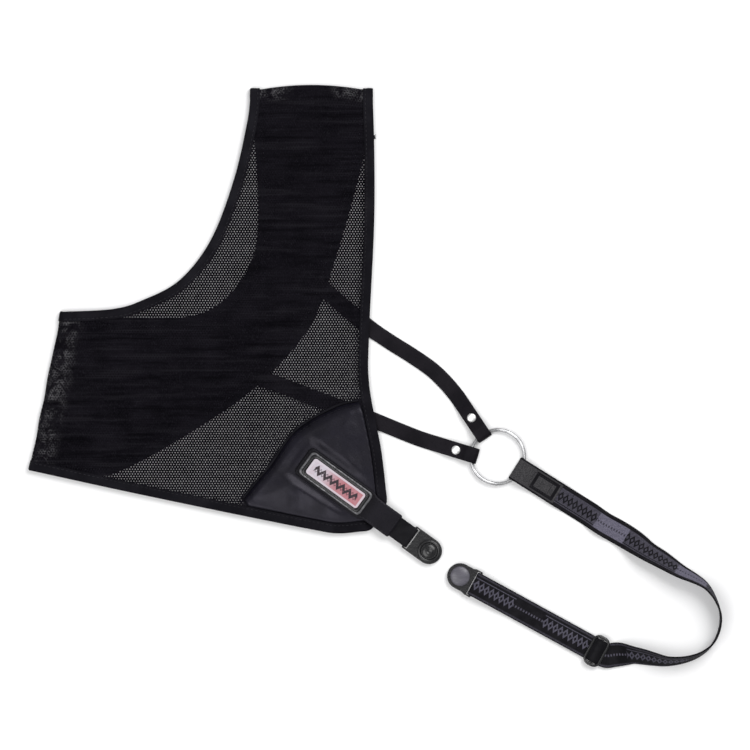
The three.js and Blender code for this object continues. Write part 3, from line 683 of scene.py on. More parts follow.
def band_finish():
    """Jacquard elastic: lozenges on grey up to the far bend, and their negative after it."""
    f = Finish("patterned_elastic", Specular_IOR_Level=0.1)
    along, over, _ = f.parts("UV")
    cross_ribs, cords = f.waves(along, 0.9), f.waves(over, 0.95)
    worn, speck = f.noise(160, 3), f.noise(1500, 1)
    away = f.size(over)
    after_bend = f.step(along, BAND_PATTERN["bend"] * MM, (BAND_PATTERN["bend"] + 4) * MM)
    past_box = f.step(along, BAND_PATTERN["start"] * MM, (BAND_PATTERN["start"] + 1) * MM)

    # Yarns
    black = f.ramp(worn, 0.35, 0.7, (0.0030, 0.0028, 0.0038), (0.0070, 0.0066, 0.0086))
    black = f.mix(f.times(cross_ribs, 0.5), black, (0.0115, 0.0108, 0.0138))
    dim = f.ramp(speck, 0.3, 0.7, (0.020, 0.0188, 0.0255), (0.060, 0.0565, 0.074))
    grey = f.ramp(speck, 0.3, 0.7, (0.075, 0.071, 0.098), (0.150, 0.142, 0.190))
    drab = f.ramp(speck, 0.3, 0.7, (0.024, 0.0235, 0.0255), (0.060, 0.058, 0.062))

    # Lozenges with a rail beside them, and dashes between
    turn = f.cycle(f.plus(along, BAND_PATTERN["shift"] * MM), BAND_PATTERN["repeat"])
    panel = f.step(turn, 0.63, 0.65)
    spot = f.plus(f.size(f.zigzag(along, BAND_PATTERN["lozenge"])), f.math("DIVIDE", away, 4.4 * MM))
    lozenge = f.times(f.step(spot, 0.98, 1.08, 1.0, 0.0), f.step(spot, 0.36, 0.48))
    motif = f.most(lozenge, f.within(f.minus(over, -5.4 * MM), 0.35, 0.2))
    dashes = f.times(f.step(f.cycle(along, 2.4), 0.45, 0.55), f.within(over, 0.9, 0.3))
    drawn = f.mix(panel, motif, f.times(dashes, 0.7))
    positive = f.mix(drawn, f.mix(panel, f.mix(0.12, dim, grey), grey), black)
    negative = f.mix(f.times(f.mix(panel, motif, dashes), 0.85), black, f.mix(0.6, dim, grey))
    pattern = f.mix(after_bend, positive, negative)

    # The loop at the ring with its box, and the plain edges of the rest
    from_box = f.minus(along, BAND_PATTERN["box"] * MM)
    box = f.times(f.within(from_box, 10.8), f.within(over, 7.3))
    box_inside = f.times(f.within(from_box, 8.2), f.within(over, 4.7))
    loop = f.mix(f.minus(box, box_inside), drab, black)
    loop = f.ramp(away, 8.0 * MM, 8.6 * MM, loop, black)
    edge = f.within(f.minus(away, 8.3 * MM), 0.7, 0.3)
    plain = f.mix(f.times(edge, f.times(after_bend, 0.8)), black, dim)
    f.colour(f.mix(f.times(f.within(over, 6.6), past_box), f.mix(past_box, loop, plain), pattern))
    f.rough(worn, 0.82, 0.66)
    f.bump((cross_ribs, 0.12), (cords, 0.08), (speck, 0.03))
    return f.material


def plastic_finish(name, dark, light, roughness):
    """Moulded acetal with a fine spark-eroded texture and light scuffs."""
    f = Finish(name, Specular_IOR_Level=0.5)
    scuffs = f.noise(240, 5, (1, 3, 1))
    f.colour(f.ramp(scuffs, 0.4, 0.72, dark, light))
    f.rough(scuffs, roughness + 0.05, roughness - 0.08, low=0.35)
    f.bump((f.noise(1500, 3), 0.03))
    return f.material


def metal_finish(name, dark, light, roughness):
    """Nickel plate: fine polishing marks and faint tarnish."""
    f = Finish(name, Metallic=1.0)
    marks = f.noise(900, 3, (1, 1, 4))
    f.colour(f.ramp(f.noise(110, 4), 0.35, 0.7, light, dark))
    f.rough(marks, roughness, roughness + 0.1)
    f.bump((marks, 0.008))
    return f.material


def floor_finish():
    f = Finish("pale_paper", Roughness=0.9, Specular_IOR_Level=0.1)
    f.colour(f.ramp(f.noise(9, 2), 0.3, 0.7, (0.93, 0.93, 0.935), (0.95, 0.95, 0.955)))
    return f.material


finishes = {
    "see_through_mesh": net_finish(),
    "stretch_knit": knit_finish(),
    "folded_tape": tape_finish(),
    "thread": thread_finish(),
    "patch_leather": leather_finish(
        "patch_leather", (0.0030, 0.0028, 0.0048), (0.0082, 0.0076, 0.0124), 0.34, 1.1, 0.22),
    # The tab carries painted shade up to 31 mm along it, round the badge
    "tab_leather": leather_finish(
        "tab_leather", (0.0027, 0.0026, 0.0037), (0.0062, 0.0058, 0.0078), 0.42, 1.0, 0.14, 31),
    "strap_leather": leather_finish(
        "strap_leather", (0.0030, 0.0026, 0.0036), (0.0078, 0.0066, 0.0084), 0.5, 0.9, 0.1),
    "badge_rim": rim_finish(),
    "badge_plate": badge_finish(),
    "plain_webbing": webbing_finish(),
    "elastic_webbing": band_finish(),
    "clip_plastic": plastic_finish("clip_plastic", (0.0030, 0.0030, 0.0040), (0.0080, 0.0078, 0.0098), 0.25),
    "cap_plastic": plastic_finish("cap_plastic", (0.076, 0.073, 0.090), (0.114, 0.109, 0.132), 0.34),
    "plated_steel": metal_finish("plated_steel", (0.30, 0.30, 0.31), (0.50, 0.50, 0.51), 0.24),
    "bright_nickel": metal_finish("bright_nickel", (0.78, 0.78, 0.78), (0.90, 0.90, 0.90), 0.38),
    "socket_steel": metal_finish("socket_steel", (0.40, 0.40, 0.41), (0.60, 0.60, 0.61), 0.26),
}


# ---- elastic band

BAND_ANGLE = -32
BAND_WAY = way(BAND_ANGLE)
RUN_WAY = way(SOCKET["angle"])
BAND_LOW = BAND["thick"] / 2
BAND_OVER = BAND_LOW + BAND["thick"] + GAP

# The far bend: places in plan, and how far the band is tipped up on its edge, in degrees
FAR_BEND = [
    (250, -152.2, 0), (261, -159.8, 9), (272, -165.9, 3), (284, -173.2, 14), (296, -181.6, 36),
    (308, -188.6, 44), (322.4, -197.6, 58),
    (334, -203.4, 68), (343, -209.4, 76), (350, -219.4, 84), (354.2, -231, 88), (353.6, -243, 88),
    (348.4, -255, 86), (338.6, -263.4, 80), (326, -268, 73), (312.8, -269.4, 66), (303, -268, 58),
    (293.6, -266, 50), (284, -264.4, 43), (276.6, -263.9, 20), (270.4, -264.4, 2), (263.4, -265.6, 0),
]


def on_line(pairs, place, heading, side=1):
    """Stations at (distance, height) pairs along a heading, with the way across to one side of it."""
    across = left_of(heading) * side
    return [(place[0] + heading[0] * d, place[1] + heading[1] * d, z, *across, 0) for d, z in pairs]


def turn_back(at, z, radius):
    """Half a turn round a bar, from above it to below it, bulging towards the start of the line."""
    return [(2 * at - x, height) for x, height in half_turn(at, z, radius)]


def band_stations():
    """The band's middle line and the way across it, from its sewn tail to its tail at the clip."""
    wrap = RING["wire"] + 1.1
    turn_at = RING["r"] - 2.4
    at_ring = on_line([
        (54, BAND_LOW), (40, BAND_LOW), (turn_at + 6, BAND_LOW), *turn_back(turn_at, RING["z"], wrap)[::-1],
        (turn_at + 5.5, RING["z"] + wrap), (38, BAND_OVER + 0.05), (57, BAND_OVER + 0.05), (70, BAND_LOW),
        (80, BAND_LOW),
    ], RING["at"], BAND_WAY)
    plan = spline(FAR_BEND, count=61)
    outward = left_of(tangents(plan[:, :2]))
    tip = np.radians(plan[:, 2])
    share = np.linspace(0, 1, len(plan))
    lie = BAND_LOW * np.cos(tip) + (BAND_OVER - BAND_LOW) * np.clip(share * 8 - 7, 0, 1)
    at_bend = np.column_stack([
        plan[:, :2], BAND["wide"] / 2 * np.sin(tip) + lie, outward * np.cos(tip)[:, None], -np.sin(tip),
    ])
    turn = CLIP["bar"] + 0.55 + BAND["thick"] / 2
    bar = SOCKET["bar"]
    at_clip = on_line([
        (130, BAND_OVER), (100, BAND_OVER), (48, BAND_OVER), (bar + 4, SOCKET["z"] + turn),
        *turn_back(bar, SOCKET["z"], turn),
        (bar + 6, SOCKET["z"] - turn), (30, BAND_LOW), (75, BAND_LOW), (120, BAND_LOW),
    ], SOCKET["at"], RUN_WAY, -1)
    line = smoothed(spaced(np.vstack([at_ring, at_bend, at_clip]), step=1.1))
    return line[:, :3], unit(line[:, 3:])


def elastic_band(route, across):
    """Flat elastic with a thin raised rib along each edge."""
    half, edge = BAND["wide"] / 2, BAND["thick"] / 2
    right = [(half - 0.35, edge - 0.12), (half - 1.1, edge + 0.06), (half - 2.2, edge + 0.02),
             (half - 2.9, edge - 0.14), (4.2, edge - 0.06)]
    top = [*right, (0, edge - 0.03), *[(-x, z) for x, z in right[::-1]]]
    section = [*top, (-half, 0), *[(x, -z) for x, z in top[::-1]], (half, 0)]
    return add_piece("elastic_band_woven", "elastic_webbing", "band", ["elastic_band"],
                     strip(route, across, section))


band_route, band_across = band_stations()
band = elastic_band(band_route, band_across)


# ---- cloth

SIDE_TOP, SIDE_BOTTOM = (-170.8, 9.8), (-196.4, -117.3)
SHOULDER_LEFT, SHOULDER_RIGHT = (-21.6, 186), (76.8, 186)
CORNER_LOW, CORNER_HIGH = (74.4, -164.8), (88, -140.8)
LINE_STEP = 1.2

armhole = spline([
    SIDE_TOP, (-131, 12), (-107, 19.2), (-77.6, 35.2), (-52.8, 67.2), (-34.4, 115.2), (-24, 160),
    (-21.6, 178), SHOULDER_LEFT,
], LINE_STEP)
hem = spline([
    SIDE_BOTTOM, (-125.6, -132.8), (-47.2, -149.2), (26.4, -164), (50, -167.4), CORNER_LOW,
], LINE_STEP)
neck = spline([
    CORNER_HIGH, (83.4, -100.8), (74, -50), (73.6, -10), (77.6, 75.2), (78, 130), (76.8, 178),
    SHOULDER_RIGHT,
], LINE_STEP)
back_inner = spline([
    SIDE_TOP, (-116.8, 4.6), (-64.8, 7.2), (-35.2, 26.4), (-17.4, 60), (-15.4, 110), (-19.2, 160),
    (-21.6, 178), SHOULDER_LEFT,
], LINE_STEP)
back_outer = spline([
    SIDE_BOTTOM, (-150, -122.5), (-120, -115.2), (-64.8, -84), (-15.2, -48.8), (26.4, -1.6), (48, 56),
    (66, 120), (72.6, 152), (76.4, 176), SHOULDER_RIGHT,
], LINE_STEP)
patch_seam = spline([
    (-27.5, -139.5), (-15, -124), (-5, -112), (15.5, -84), (46, -66), (65.4, -60.8),
], LINE_STEP)

SIDE_ALONG = unit(np.subtract(SIDE_BOTTOM, SIDE_TOP))
SIDE_AWAY = -left_of(SIDE_ALONG)
SHOULDER_ALONG = np.array([1.0, 0.0])
SHOULDER_AWAY = np.array([0.0, 1.0])

# Soft creases in both panels: middle, heading in degrees, half length, half width, height
CREASES = [
    (-103, -52, 84, 70, 9, -1.3), (-84, -48, 92, 60, 8, 0.8), (-128, -44, 80, 62, 7, 0.7),
    (-6, 16, -38, 34, 5, 0.9), (8, 2, -52, 40, 5, -0.9), (22, 40, 72, 46, 6, 0.6),
    (44, 118, 88, 46, 8, -0.8), (14, 128, 84, 40, 6, 0.7), (-40, -70, 26, 55, 8, 0.7),
    (40, -28, 60, 40, 9, -0.8), (56, 60, 86, 60, 7, 0.6), (-60, -118, 4, 60, 6, -0.6),
]


def crease_height(x, y):
    total = 0.55 * ripple(x, y, 46, seed=5) + 0.16 * ripple(x, y, 15, seed=8)
    for cx, cy, heading, half_long, half_wide, height in CREASES:
        ahead = way(heading)
        along = (x - cx) * ahead[0] + (y - cy) * ahead[1]
        over = (y - cy) * ahead[0] - (x - cx) * ahead[1]
        bend = 2.5 * np.sin(along / half_long * 2.1)
        total = total + height * np.exp(-(along / half_long) ** 2 - ((over + bend) / half_wide) ** 2)
    return total


def past_folds(x, y):
    """How far points in plan are past the side fold's line, and past the shoulder fold's."""
    return [(x - start[0]) * away[0] + (y - start[1]) * away[1]
            for start, away in ((SIDE_TOP, SIDE_AWAY), (SHOULDER_LEFT, SHOULDER_AWAY))]


def turned_under(past, away, x, y, z):
    """Carries cloth that runs past a fold line round the fold and back under it."""
    angle = np.clip(past / FOLD_R, 0, math.pi)
    out = FOLD_R * np.sin(angle) - np.maximum(past - HALF_FOLD, 0)
    moved = past > 0
    x = np.where(moved, x + away[0] * (out - past), x)
    y = np.where(moved, y + away[1] * (out - past), y)
    return x, y, np.where(moved, FOLD_Z + FOLD_R * np.cos(angle), z)


def shoulder_bow(x, past_shoulder):
    """How far the cloth bows out between the tapes at the shoulder fold."""
    share = np.clip((x - SHOULDER_LEFT[0]) / (SHOULDER_RIGHT[0] - SHOULDER_LEFT[0]), 0, 1)
    return SHOULDER_BOW * np.maximum(0, 1 - ((share - 0.5) / 0.4) ** 2) * eased(past_shoulder, -46, 2)


def edge_inwards(line, side):
    return left_of(tangents(line)) * side


def patch_sides():
    """Three of the patch's sides in plan: its seam, its low edge and its high edge."""
    depth = TAPE_WIDE + 0.5
    past_piping = 1.4
    seam = patch_seam - edge_inwards(patch_seam, 1) * past_piping
    low = share_of(hem + edge_inwards(hem, 1) * depth, 0.632, 1)
    high = share_of(neck + edge_inwards(neck, 1) * depth, 0, 0.222)
    return seam, low, high[::-1]


def patch_outline():
    seam, low, high = patch_sides()
    return np.vstack([low, high[::-1], seam[::-1]])


front_outline = np.vstack([
    armhole,
    [point + SHOULDER_AWAY * (HALF_FOLD + UNDERLAP) for point in (SHOULDER_LEFT, SHOULDER_RIGHT)],
    neck[::-1], hem[::-1],
    [point + SIDE_AWAY * (HALF_FOLD + UNDERLAP) for point in (SIDE_BOTTOM, SIDE_TOP)],
])
held_edges = np.vstack([armhole[::3], neck[::3], hem[::3]])


def lay_front(flat):
    """Where points of the front panel's flat cloth lie."""
    x, y = flat.T
    past_side, past_shoulder = past_folds(x, y)
    from_edge = distance_to(flat, held_edges)
    off_patch = np.where(inside(flat, patch_outline()), 0, eased(distance_to(flat, patch_seam), 4, 22))
    loose = eased(from_edge, 6.5, 30) * off_patch * eased(-past_shoulder, 0, 30) * eased(-past_side, -1, 20)
    crumple = eased(past_side, -17, -3) * eased(from_edge, 7, 16)
    run = (x - SIDE_TOP[0]) * SIDE_ALONG[0] + (y - SIDE_TOP[1]) * SIDE_ALONG[1]
    z = FRONT_Z + loose * np.clip(crease_height(x, y), -1.9, 1.6)
    z = z + crumple * (0.5 * ripple(run, past_side, 9, seed=3) + 0.25 * ripple(run, past_side, 4.5, seed=4))
    bow = shoulder_bow(x, past_shoulder)
    lift = z - FRONT_Z
    x, y, z = turned_under(past_side, SIDE_AWAY, x, y, z)
    x, y, z = turned_under(past_shoulder, SHOULDER_AWAY, x, y, z)
    z = np.where((past_side > 0) | (past_shoulder > 0), z + np.clip(lift, -0.5, 0.5) * 0.6, z)
    wobble = 0.5 * ripple(run, 0 * run, 22, seed=12) * crumple
    return np.column_stack([x + SIDE_AWAY[0] * wobble, y + bow + SIDE_AWAY[1] * wobble, z])


def net():
    """See-through mesh: a staggered net of six-sided eyes, filled where the patch hides them."""
    low, high = front_outline.min(0), front_outline.max(0)
    rows = int((high[1] - low[1]) / NET["up"]) + 2
    columns = int((high[0] - low[0]) / NET["across"]) + 2
    j, i = np.mgrid[0:rows, 0:columns]
    centres = np.column_stack([
        (low[0] + (i + (j % 2) / 2) * NET["across"]).ravel(), (low[1] + j * NET["up"]).ravel(),
    ])
    centres = centres[inside(centres, front_outline)]
    centres = centres[distance_to(centres, spaced(looped(front_outline), 1.0)) > NET["off_edge"]]
    half, third = NET["across"] / 2, NET["up"] / 3
    eye = np.array([(0, -2 * third), (half, -third), (half, third), (0, 2 * third), (-half, third),
                    (-half, -third)])
    hidden = inside(centres, pulled_in(patch_outline(), -NET["filled_past_patch"]))
    outer = (centres[:, None] + eye).reshape(-1, 2)
    inner = (centres[~hidden, None] + eye * NET["hole"]).reshape(-1, 2)
    _, first, shared = np.unique(np.round(outer * 20).astype(np.int64), axis=0, return_index=True,
                                 return_inverse=True)
    outer_at = shared.reshape(-1, 6)
    inner_at = np.arange(len(inner)).reshape(-1, 6) + len(first)
    around = outer_at[~hidden]
    quads = [around, np.roll(around, -1, axis=1), np.roll(inner_at, -1, axis=1), inner_at]
    faces = np.stack(quads, -1).reshape(-1, 4).tolist() + outer_at[hidden].tolist()
    flat = np.vstack([outer[first], inner])
    places = -np.column_stack(past_folds(*flat.T))
    return add_piece("front_mesh", "see_through_mesh", "guard", ["front_panel"],
                     (lay_front(flat), faces, places))


def knit():
    """Plain stretch knit under the mesh."""
    inner, outer = (spaced(np.vstack([
        line[:1] + SIDE_AWAY * KNIT["into_fold"], line[2:-2], line[-1:] + SHOULDER_AWAY * KNIT["into_fold"],
    ]), count=KNIT["rows"]) for line in (back_inner, back_outer))
    inner = inner + edge_inwards(inner, -1) * KNIT["into_tape"]
    outer = outer + edge_inwards(outer, 1) * KNIT["into_tape"]
    share = np.linspace(0, 1, KNIT["columns"])[None, :, None]
    plan = (inner[:, None] * (1 - share) + outer[:, None] * share).reshape(-1, 2)
    past_side, past_shoulder = past_folds(*plan.T)
    free = eased(distance_to(plan, np.vstack([inner[::3], outer[::3]])), 7.5, 24)
    held = eased(np.maximum(past_side, past_shoulder), -6, -1)
    rise = np.clip(crease_height(*plan.T), -0.9, 2.0)
    z = BACK_Z + free * (1 - held) * np.clip(0.55 * rise + 0.15, -0.35, 1.3) + 0.7 * held
    edge = np.minimum(share[..., 0], 1 - share[..., 0]) * np.linalg.norm(outer - inner, axis=1)[:, None]
    run = np.broadcast_to(arc_length(inner)[:, None], edge.shape)
    points = at_height(plan + np.outer(shoulder_bow(plan[:, 0], past_shoulder), SHOULDER_AWAY), z)
    piece = add_piece("back_knit", "stretch_knit", "guard", ["back_panel"], (
        points, grid_faces(KNIT["rows"], KNIT["columns"]), np.column_stack([run.ravel(), edge.ravel()])))
    shell = piece.modifiers.new("cloth", "SOLIDIFY")
    shell.thickness = CLOTH * MM
    shell.offset = 0
    return piece


# Folded tape's upper half, from its edge on the cloth to its fold: (into the cloth, height)
TAPE_HALF = [
    (7.7, 0.36), (8.0, 0.5), (7.9, 0.72), (7.2, 0.88), (6.6, 0.84), (6.2, 0.74), (5.8, 0.84), (5.0, 0.95),
    (3.4, 1.04), (1.8, 1.05), (0.9, 0.93), (0.3, 0.6), (0.03, 0.25),
]
TAPE_INSIDE = [(0.7, -0.34), (0.7, 0.34)]


def round_fold(point, inward, away):
    """Tape stations round a fold, from the front's face to the back's."""
    angle = np.linspace(0, math.pi, 11)
    plan = point + np.sin(angle)[:, None] * FOLD_R * away
    into = np.tile([*inward, 0.0], (len(angle), 1))
    up = np.column_stack([np.sin(angle)[:, None] * away, np.cos(angle)])
    return np.hstack([at_height(plan, FOLD_Z + FOLD_R * np.cos(angle)), into, up])


def along_edge(line, z, side, facing):
    """Tape stations along an edge of the cloth."""
    into = at_height(edge_inwards(line, side), 0)
    up = np.tile([0.0, 0.0, facing], (len(line), 1))
    return np.hstack([at_height(line, z), into, up])


def round_corner(line, ends):
    """An edge's line that leaves it near the corner and ends under the tab."""
    return spline(np.vstack([ends, line[8:-3:6], line[-1:]]), LINE_STEP)


def sew(name, stations, first, spare):
    """A row of stitches on each face of a tape."""
    height = (0.62 + 0.24 * ARCH)[:, None]
    strands = []
    for face in (1, -1):
        strands += stitches_along(
            stations, lambda s: s[:, :3] + s[:, 3:6] * STITCH["into"] + s[:, 6:] * face * height,
            STITCH["pitch"], STITCH["long"], STITCH["radius"], first, spare, taper=0.6)
    add_thread(name, "folded_tape", "guard", strands)


def tape(name, stations, node, closed=False, pressed=0.0):
    """Folded tape that puckers a little between its stitches. Its first stretch may be pressed flat."""
    stations = spaced(looped(stations), step=1.2)[:-1] if closed else spaced(stations, step=1.2)
    middle, into, up = stations[:, :3], unit(stations[:, 3:6]), unit(stations[:, 6:])
    run = arc_length(middle)
    section = np.array([*TAPE_HALF, (0, 0), *[(x, -z) for x, z in TAPE_HALF[::-1]], *TAPE_INSIDE])
    height = np.abs(section[:, 1])
    near_stitch = np.exp(-((section[:, 0] - STITCH["into"]) / 1.6) ** 2) * (height > 0.5)
    swell = 1 + np.cos(2 * math.pi * run / STITCH["pitch"])[:, None] * near_stitch[None, :] * 0.07
    swell = swell + 0.05 * ripple(run, 0 * run, 19, seed=len(name))[:, None] * (height > 0.8)
    if pressed:
        swell = swell * (0.45 + 0.55 * eased(run, pressed * 0.6, pressed))[:, None]
    add_piece(name, "folded_tape", "guard", [node], sweep((middle, into, up), section, closed, swell))
    sew(name + "_stitches", np.hstack([middle, into, up]), pressed + 0.6,
        STITCH["long"] + (0 if closed else 1.2))


def bindings():
    front = along_edge(armhole, FRONT_Z, -1, 1)
    back = along_edge(back_inner, BACK_Z, -1, -1)[::-1]
    over = round_fold(SHOULDER_LEFT, SHOULDER_ALONG, SHOULDER_AWAY)[1:-1]
    under = round_fold(SIDE_TOP, SIDE_ALONG, SIDE_AWAY)[1:-1][::-1]
    tape("armhole_tape", np.vstack([front, over, back, under]), "armhole_binding", closed=True)
    corner = round_corner(neck, [(84.6, -149.6), (87.2, -144.9), (88, -139.8)])
    front = along_edge(corner, FRONT_Z, 1, 1)
    over = round_fold(SHOULDER_RIGHT, -SHOULDER_ALONG, SHOULDER_AWAY)[1:-1]
    back = along_edge(share_of(back_outer, 0.015, 1), BACK_Z, 1, -1)[::-1]
    tape("neck_tape", np.vstack([front, over, back]), "neck_binding", pressed=9)
    corner = round_corner(hem[::-1], [(78.6, -158.8), (76.6, -163), (72.4, -165.4)])
    front = along_edge(corner, FRONT_Z, -1, 1)
    around = round_fold(SIDE_BOTTOM, -SIDE_ALONG, SIDE_AWAY)[1:]
    tape("hem_tape", np.vstack([front, around]), "hem_binding", pressed=9)


def thread_end():
    """Loose thread ends at the neck tape's edge."""
    chance = np.random.default_rng(21)
    strands = []
    for k in range(14):
        heading = way(chance.uniform(-65, 60))
        long = chance.uniform(1.2, 2.4)
        t = np.linspace(0, 1, 7)[:, None]
        curl = left_of(heading) * chance.uniform(-1.2, 1.2)
        plan = np.array([77.0, 148.0 + 0.22 * k]) + heading * long * t + curl * t ** 2
        rise = FRONT_Z + chance.uniform(-0.5, 0.5) + t * chance.uniform(-0.6, 0.8)
        strands.append(tube(np.hstack([plan, rise]), 0.28, 6, taper=0.4))
    add_thread("thread_end", "folded_tape", "guard", strands)


front_mesh = net()
back_knit = knit()
bindings()
thread_end()


# ---- patch and badge

def under_tab(plan):
    """1 under the tab, easing to 0 around it."""
    ahead = way(CORNER["angle"])
    local = plan - CORNER["at"]
    along, over = local @ ahead, local @ left_of(ahead)
    outside = np.maximum(np.maximum(-34 - along, along - 60), np.abs(over) - 13)
    return 1 - eased(outside, 0.5, 8)


def patch():
    """Leather-look patch: filled between its sides, puffed, with edges that roll down."""
    seam, low, high = patch_sides()
    across, along = 72, 64
    seam, mouth = spaced(seam, count=across), spaced([low[-1], high[-1]], count=across)
    low, high = spaced(low, count=along), spaced(high, count=along)
    low[0], high[0] = seam[0], seam[-1]
    u = np.linspace(0, 1, across)[None, :, None]
    v = np.linspace(0, 1, along)[:, None, None]
    plan = (1 - v) * seam[None] + v * mouth[None] + (1 - u) * low[:, None] + u * high[:, None]
    plan = plan - ((1 - u) * (1 - v) * seam[0] + u * (1 - v) * seam[-1]
                   + (1 - u) * v * mouth[0] + u * v * mouth[-1])
    plan = plan.reshape(-1, 2)
    reach = np.min([distance_to(plan, spaced(side, 1.0)) for side in (seam, low, high, mouth)], axis=0)
    roll = np.sqrt(np.clip(1 - (1 - np.clip(reach / 1.3, 0, 1)) ** 2, 0, 1))
    wrinkle = eased(reach, 2, 9) * (0.5 * ripple(*plan.T, 30, seed=31) + 0.06 * ripple(*plan.T, 9, seed=33))
    puff = 2.4 * eased(reach, 1, 24) + wrinkle
    top = PATCH_Z + 0.15 + (PATCH_THICK - 0.15) * roll + puff * (1 - under_tab(plan))
    upper = grid_faces(along, across)
    count = len(plan)
    ids = np.arange(count).reshape(along, across)
    edge = [*ids[0, :-1], *ids[:-1, -1], *ids[-1, :0:-1], *ids[:0:-1, 0]]
    sides = [[int(b), int(a), int(a) + count, int(b) + count] for a, b in zip(edge, edge[1:] + edge[:1])]
    faces = upper + [[count + k for k in face[::-1]] for face in upper] + sides
    points = np.vstack([at_height(plan, top), at_height(plan, PATCH_Z)])
    add_piece("leather_patch", "patch_leather", "guard", ["corner_patch"],
              (points, flipped(faces), np.tile(plan, (2, 1))))


def piping():
    """Corded piping along the patch's seam, and the stitches beside it."""
    cord = tube(at_height(patch_seam, PATCH_Z + 0.95), 1.0, 14, taper=1.5)
    add_piece("seam_piping", "folded_tape", "guard", ["patch_piping"], cord)
    beside = patch_seam - edge_inwards(patch_seam, 1) * 3.6
    strands = stitches_along(
        beside, lambda plan: at_height(plan, PATCH_Z + PATCH_THICK + 0.02 + 0.16 * ARCH),
        pitch=3.2, long=2.2, radius=0.2, first=3, spare=5)
    add_thread("seam_stitches", "folded_tape", "guard", strands)


def corner_tab():
    """Leather tab under the badge, with a stitched border."""
    half, narrow, wide, corner = 30, 10.4, 12.5, 4
    start, end, end_corner = -33, 58.8, 1.5
    waist = [(half + 8, narrow), (half + 4, narrow + 0.2), (half, wide - 0.2), (half - 3, wide)]
    outline = [
        *arc_points(end - end_corner, narrow - end_corner, end_corner, 0, 90, 4), *waist,
        *arc_points(start + corner, wide - corner, corner, 90, 180, 6),
        *arc_points(start + corner, corner - wide, corner, 180, 270, 6),
        *[(x, -y) for x, y in waist[::-1]],
        *arc_points(end - end_corner, end_corner - narrow, end_corner, 270, 360, 4),
    ]
    # Bevel and dome together stay within the end's corner radius, as in the clips
    shape = plate(outline, TAB_Z, TAB_Z + TAB_THICK, 0.55, 0.18, 0.8)
    add_piece("leather_tab", "tab_leather", "guard", ["corner_tab"], shape, at_corner)
    strands = stitches_along(
        spaced(looped(pulled_in(outline, 1.5)), 0.4),
        lambda plan: at_corner(at_height(plan, TAB_Z + TAB_THICK + 0.04 + 0.16 * ARCH)),
        pitch=3.0, long=2.0, radius=0.2, spare=2.4)
    add_thread("tab_stitches", "tab_leather", "guard", strands)


def badge():
    """Rim with a grey crest, a dark recess inside it, and a pale plate."""
    outer, inner = rounded_rectangle(60, 21.4, 3.5), rounded_rectangle(51.2, 15, 2.5)
    crest = rim(outer, inner, raised(BADGE_Z, [
        (0, 0), (0, 1.0), (0.06, 1.5), (0.16, 1.78), (0.26, 1.8), (0.36, 1.66), (0.44, 1.3), (0.44, 0)]))
    recess = rim(outer, inner, raised(BADGE_Z, [
        (0.47, 0), (0.47, 0.75), (0.55, 0.9), (0.9, 0.9), (1, 0.7), (1, 0)]))
    label = plate(rounded_rectangle(50.4, 14.2, 2.2, 6), BADGE_Z, BADGE_Z + 1.2, 0.35)
    add_piece("badge_crest", "badge_rim", "guard", ["badge_frame"], crest, at_corner)
    add_piece("badge_recess", "badge_rim", "guard", [], recess, at_corner, finish="clip_plastic")
    add_piece("badge_plate", "badge_plate", "guard", ["badge_label"], label, at_corner)


def tab_loop():
    """Loop of webbing from under the tab round the stud clip's bar."""
    bar = STUD_AT - STUD_BAR
    thick = 1.3
    radius = CLIP["bar"] + GAP + thick / 2
    upper, lower = STUD_Z + radius, FRONT_Z - 0.95
    pairs = [(44.4, upper), (52, upper), (bar - 12, upper), (bar - 5, upper),
             *half_turn(bar, STUD_Z, radius),
             (bar - 5, STUD_Z - radius + 0.2), (bar - 14, lower - 0.3), (44.4, lower)]
    line = smoothed(spaced([(x, 0, z) for x, z in pairs], step=0.7))
    add_piece("webbing_loop", "plain_webbing", "guard", ["tab_loop"],
              strip(line, [0, 1, 0], flat_section(17.6, thick, 0.06)), at_corner)


patch()
piping()
corner_tab()
badge()
tab_loop()


# ---- clips, press stud and slider

def cross_line(half, count, x, z):
    """A line along Y."""
    return np.column_stack([np.full(count, float(x)), np.linspace(-half, half, count), np.full(count, z)])


def clip_outline(bar, half_slot, half_wide):
    """A clip seen from above: a round end, and two arms that hold a bar."""
    slot_front = 3.6 - bar
    tip, inner_tip = 0.55, 0.5
    spread = min(half_wide, CLIP["round"])
    join = -math.sqrt(max(0.0, half_wide ** 2 - CLIP["round"] ** 2))
    arm = [(join - 2, spread), (slot_front + 1, half_wide),
           *arc_points(-bar, half_wide - tip, tip, 90, 180, 3),
           *arc_points(-bar, half_slot + inner_tip, inner_tip, 180, 270, 3),
           (slot_front - 1, half_slot), (slot_front - 0.25, half_slot - 0.2), (slot_front, half_slot - 1)]
    return [*arc_points(0, 0, CLIP["round"], -90, 90, 28), *arm, *[(x, -y) for x, y in arm[::-1]]]


def clip(name, bar, half_slot, half_wide, z, place, body, node, extra=()):
    half = CLIP["thick"] / 2
    # The bevel is less than the arms' tip radius, so that the cap's outline can't cross itself
    body_plate = plate(clip_outline(bar, half_slot, half_wide), z - half, z + half, 0.4)
    rod = tube(cross_line(half_wide - 0.2, 13, -bar, z), CLIP["bar"], 20, 0.5)
    shape = (*merged([body_plate, rod, *extra]), None, body_plate[3])
    return add_piece(name, "clip_plastic", body, [node], shape, place)


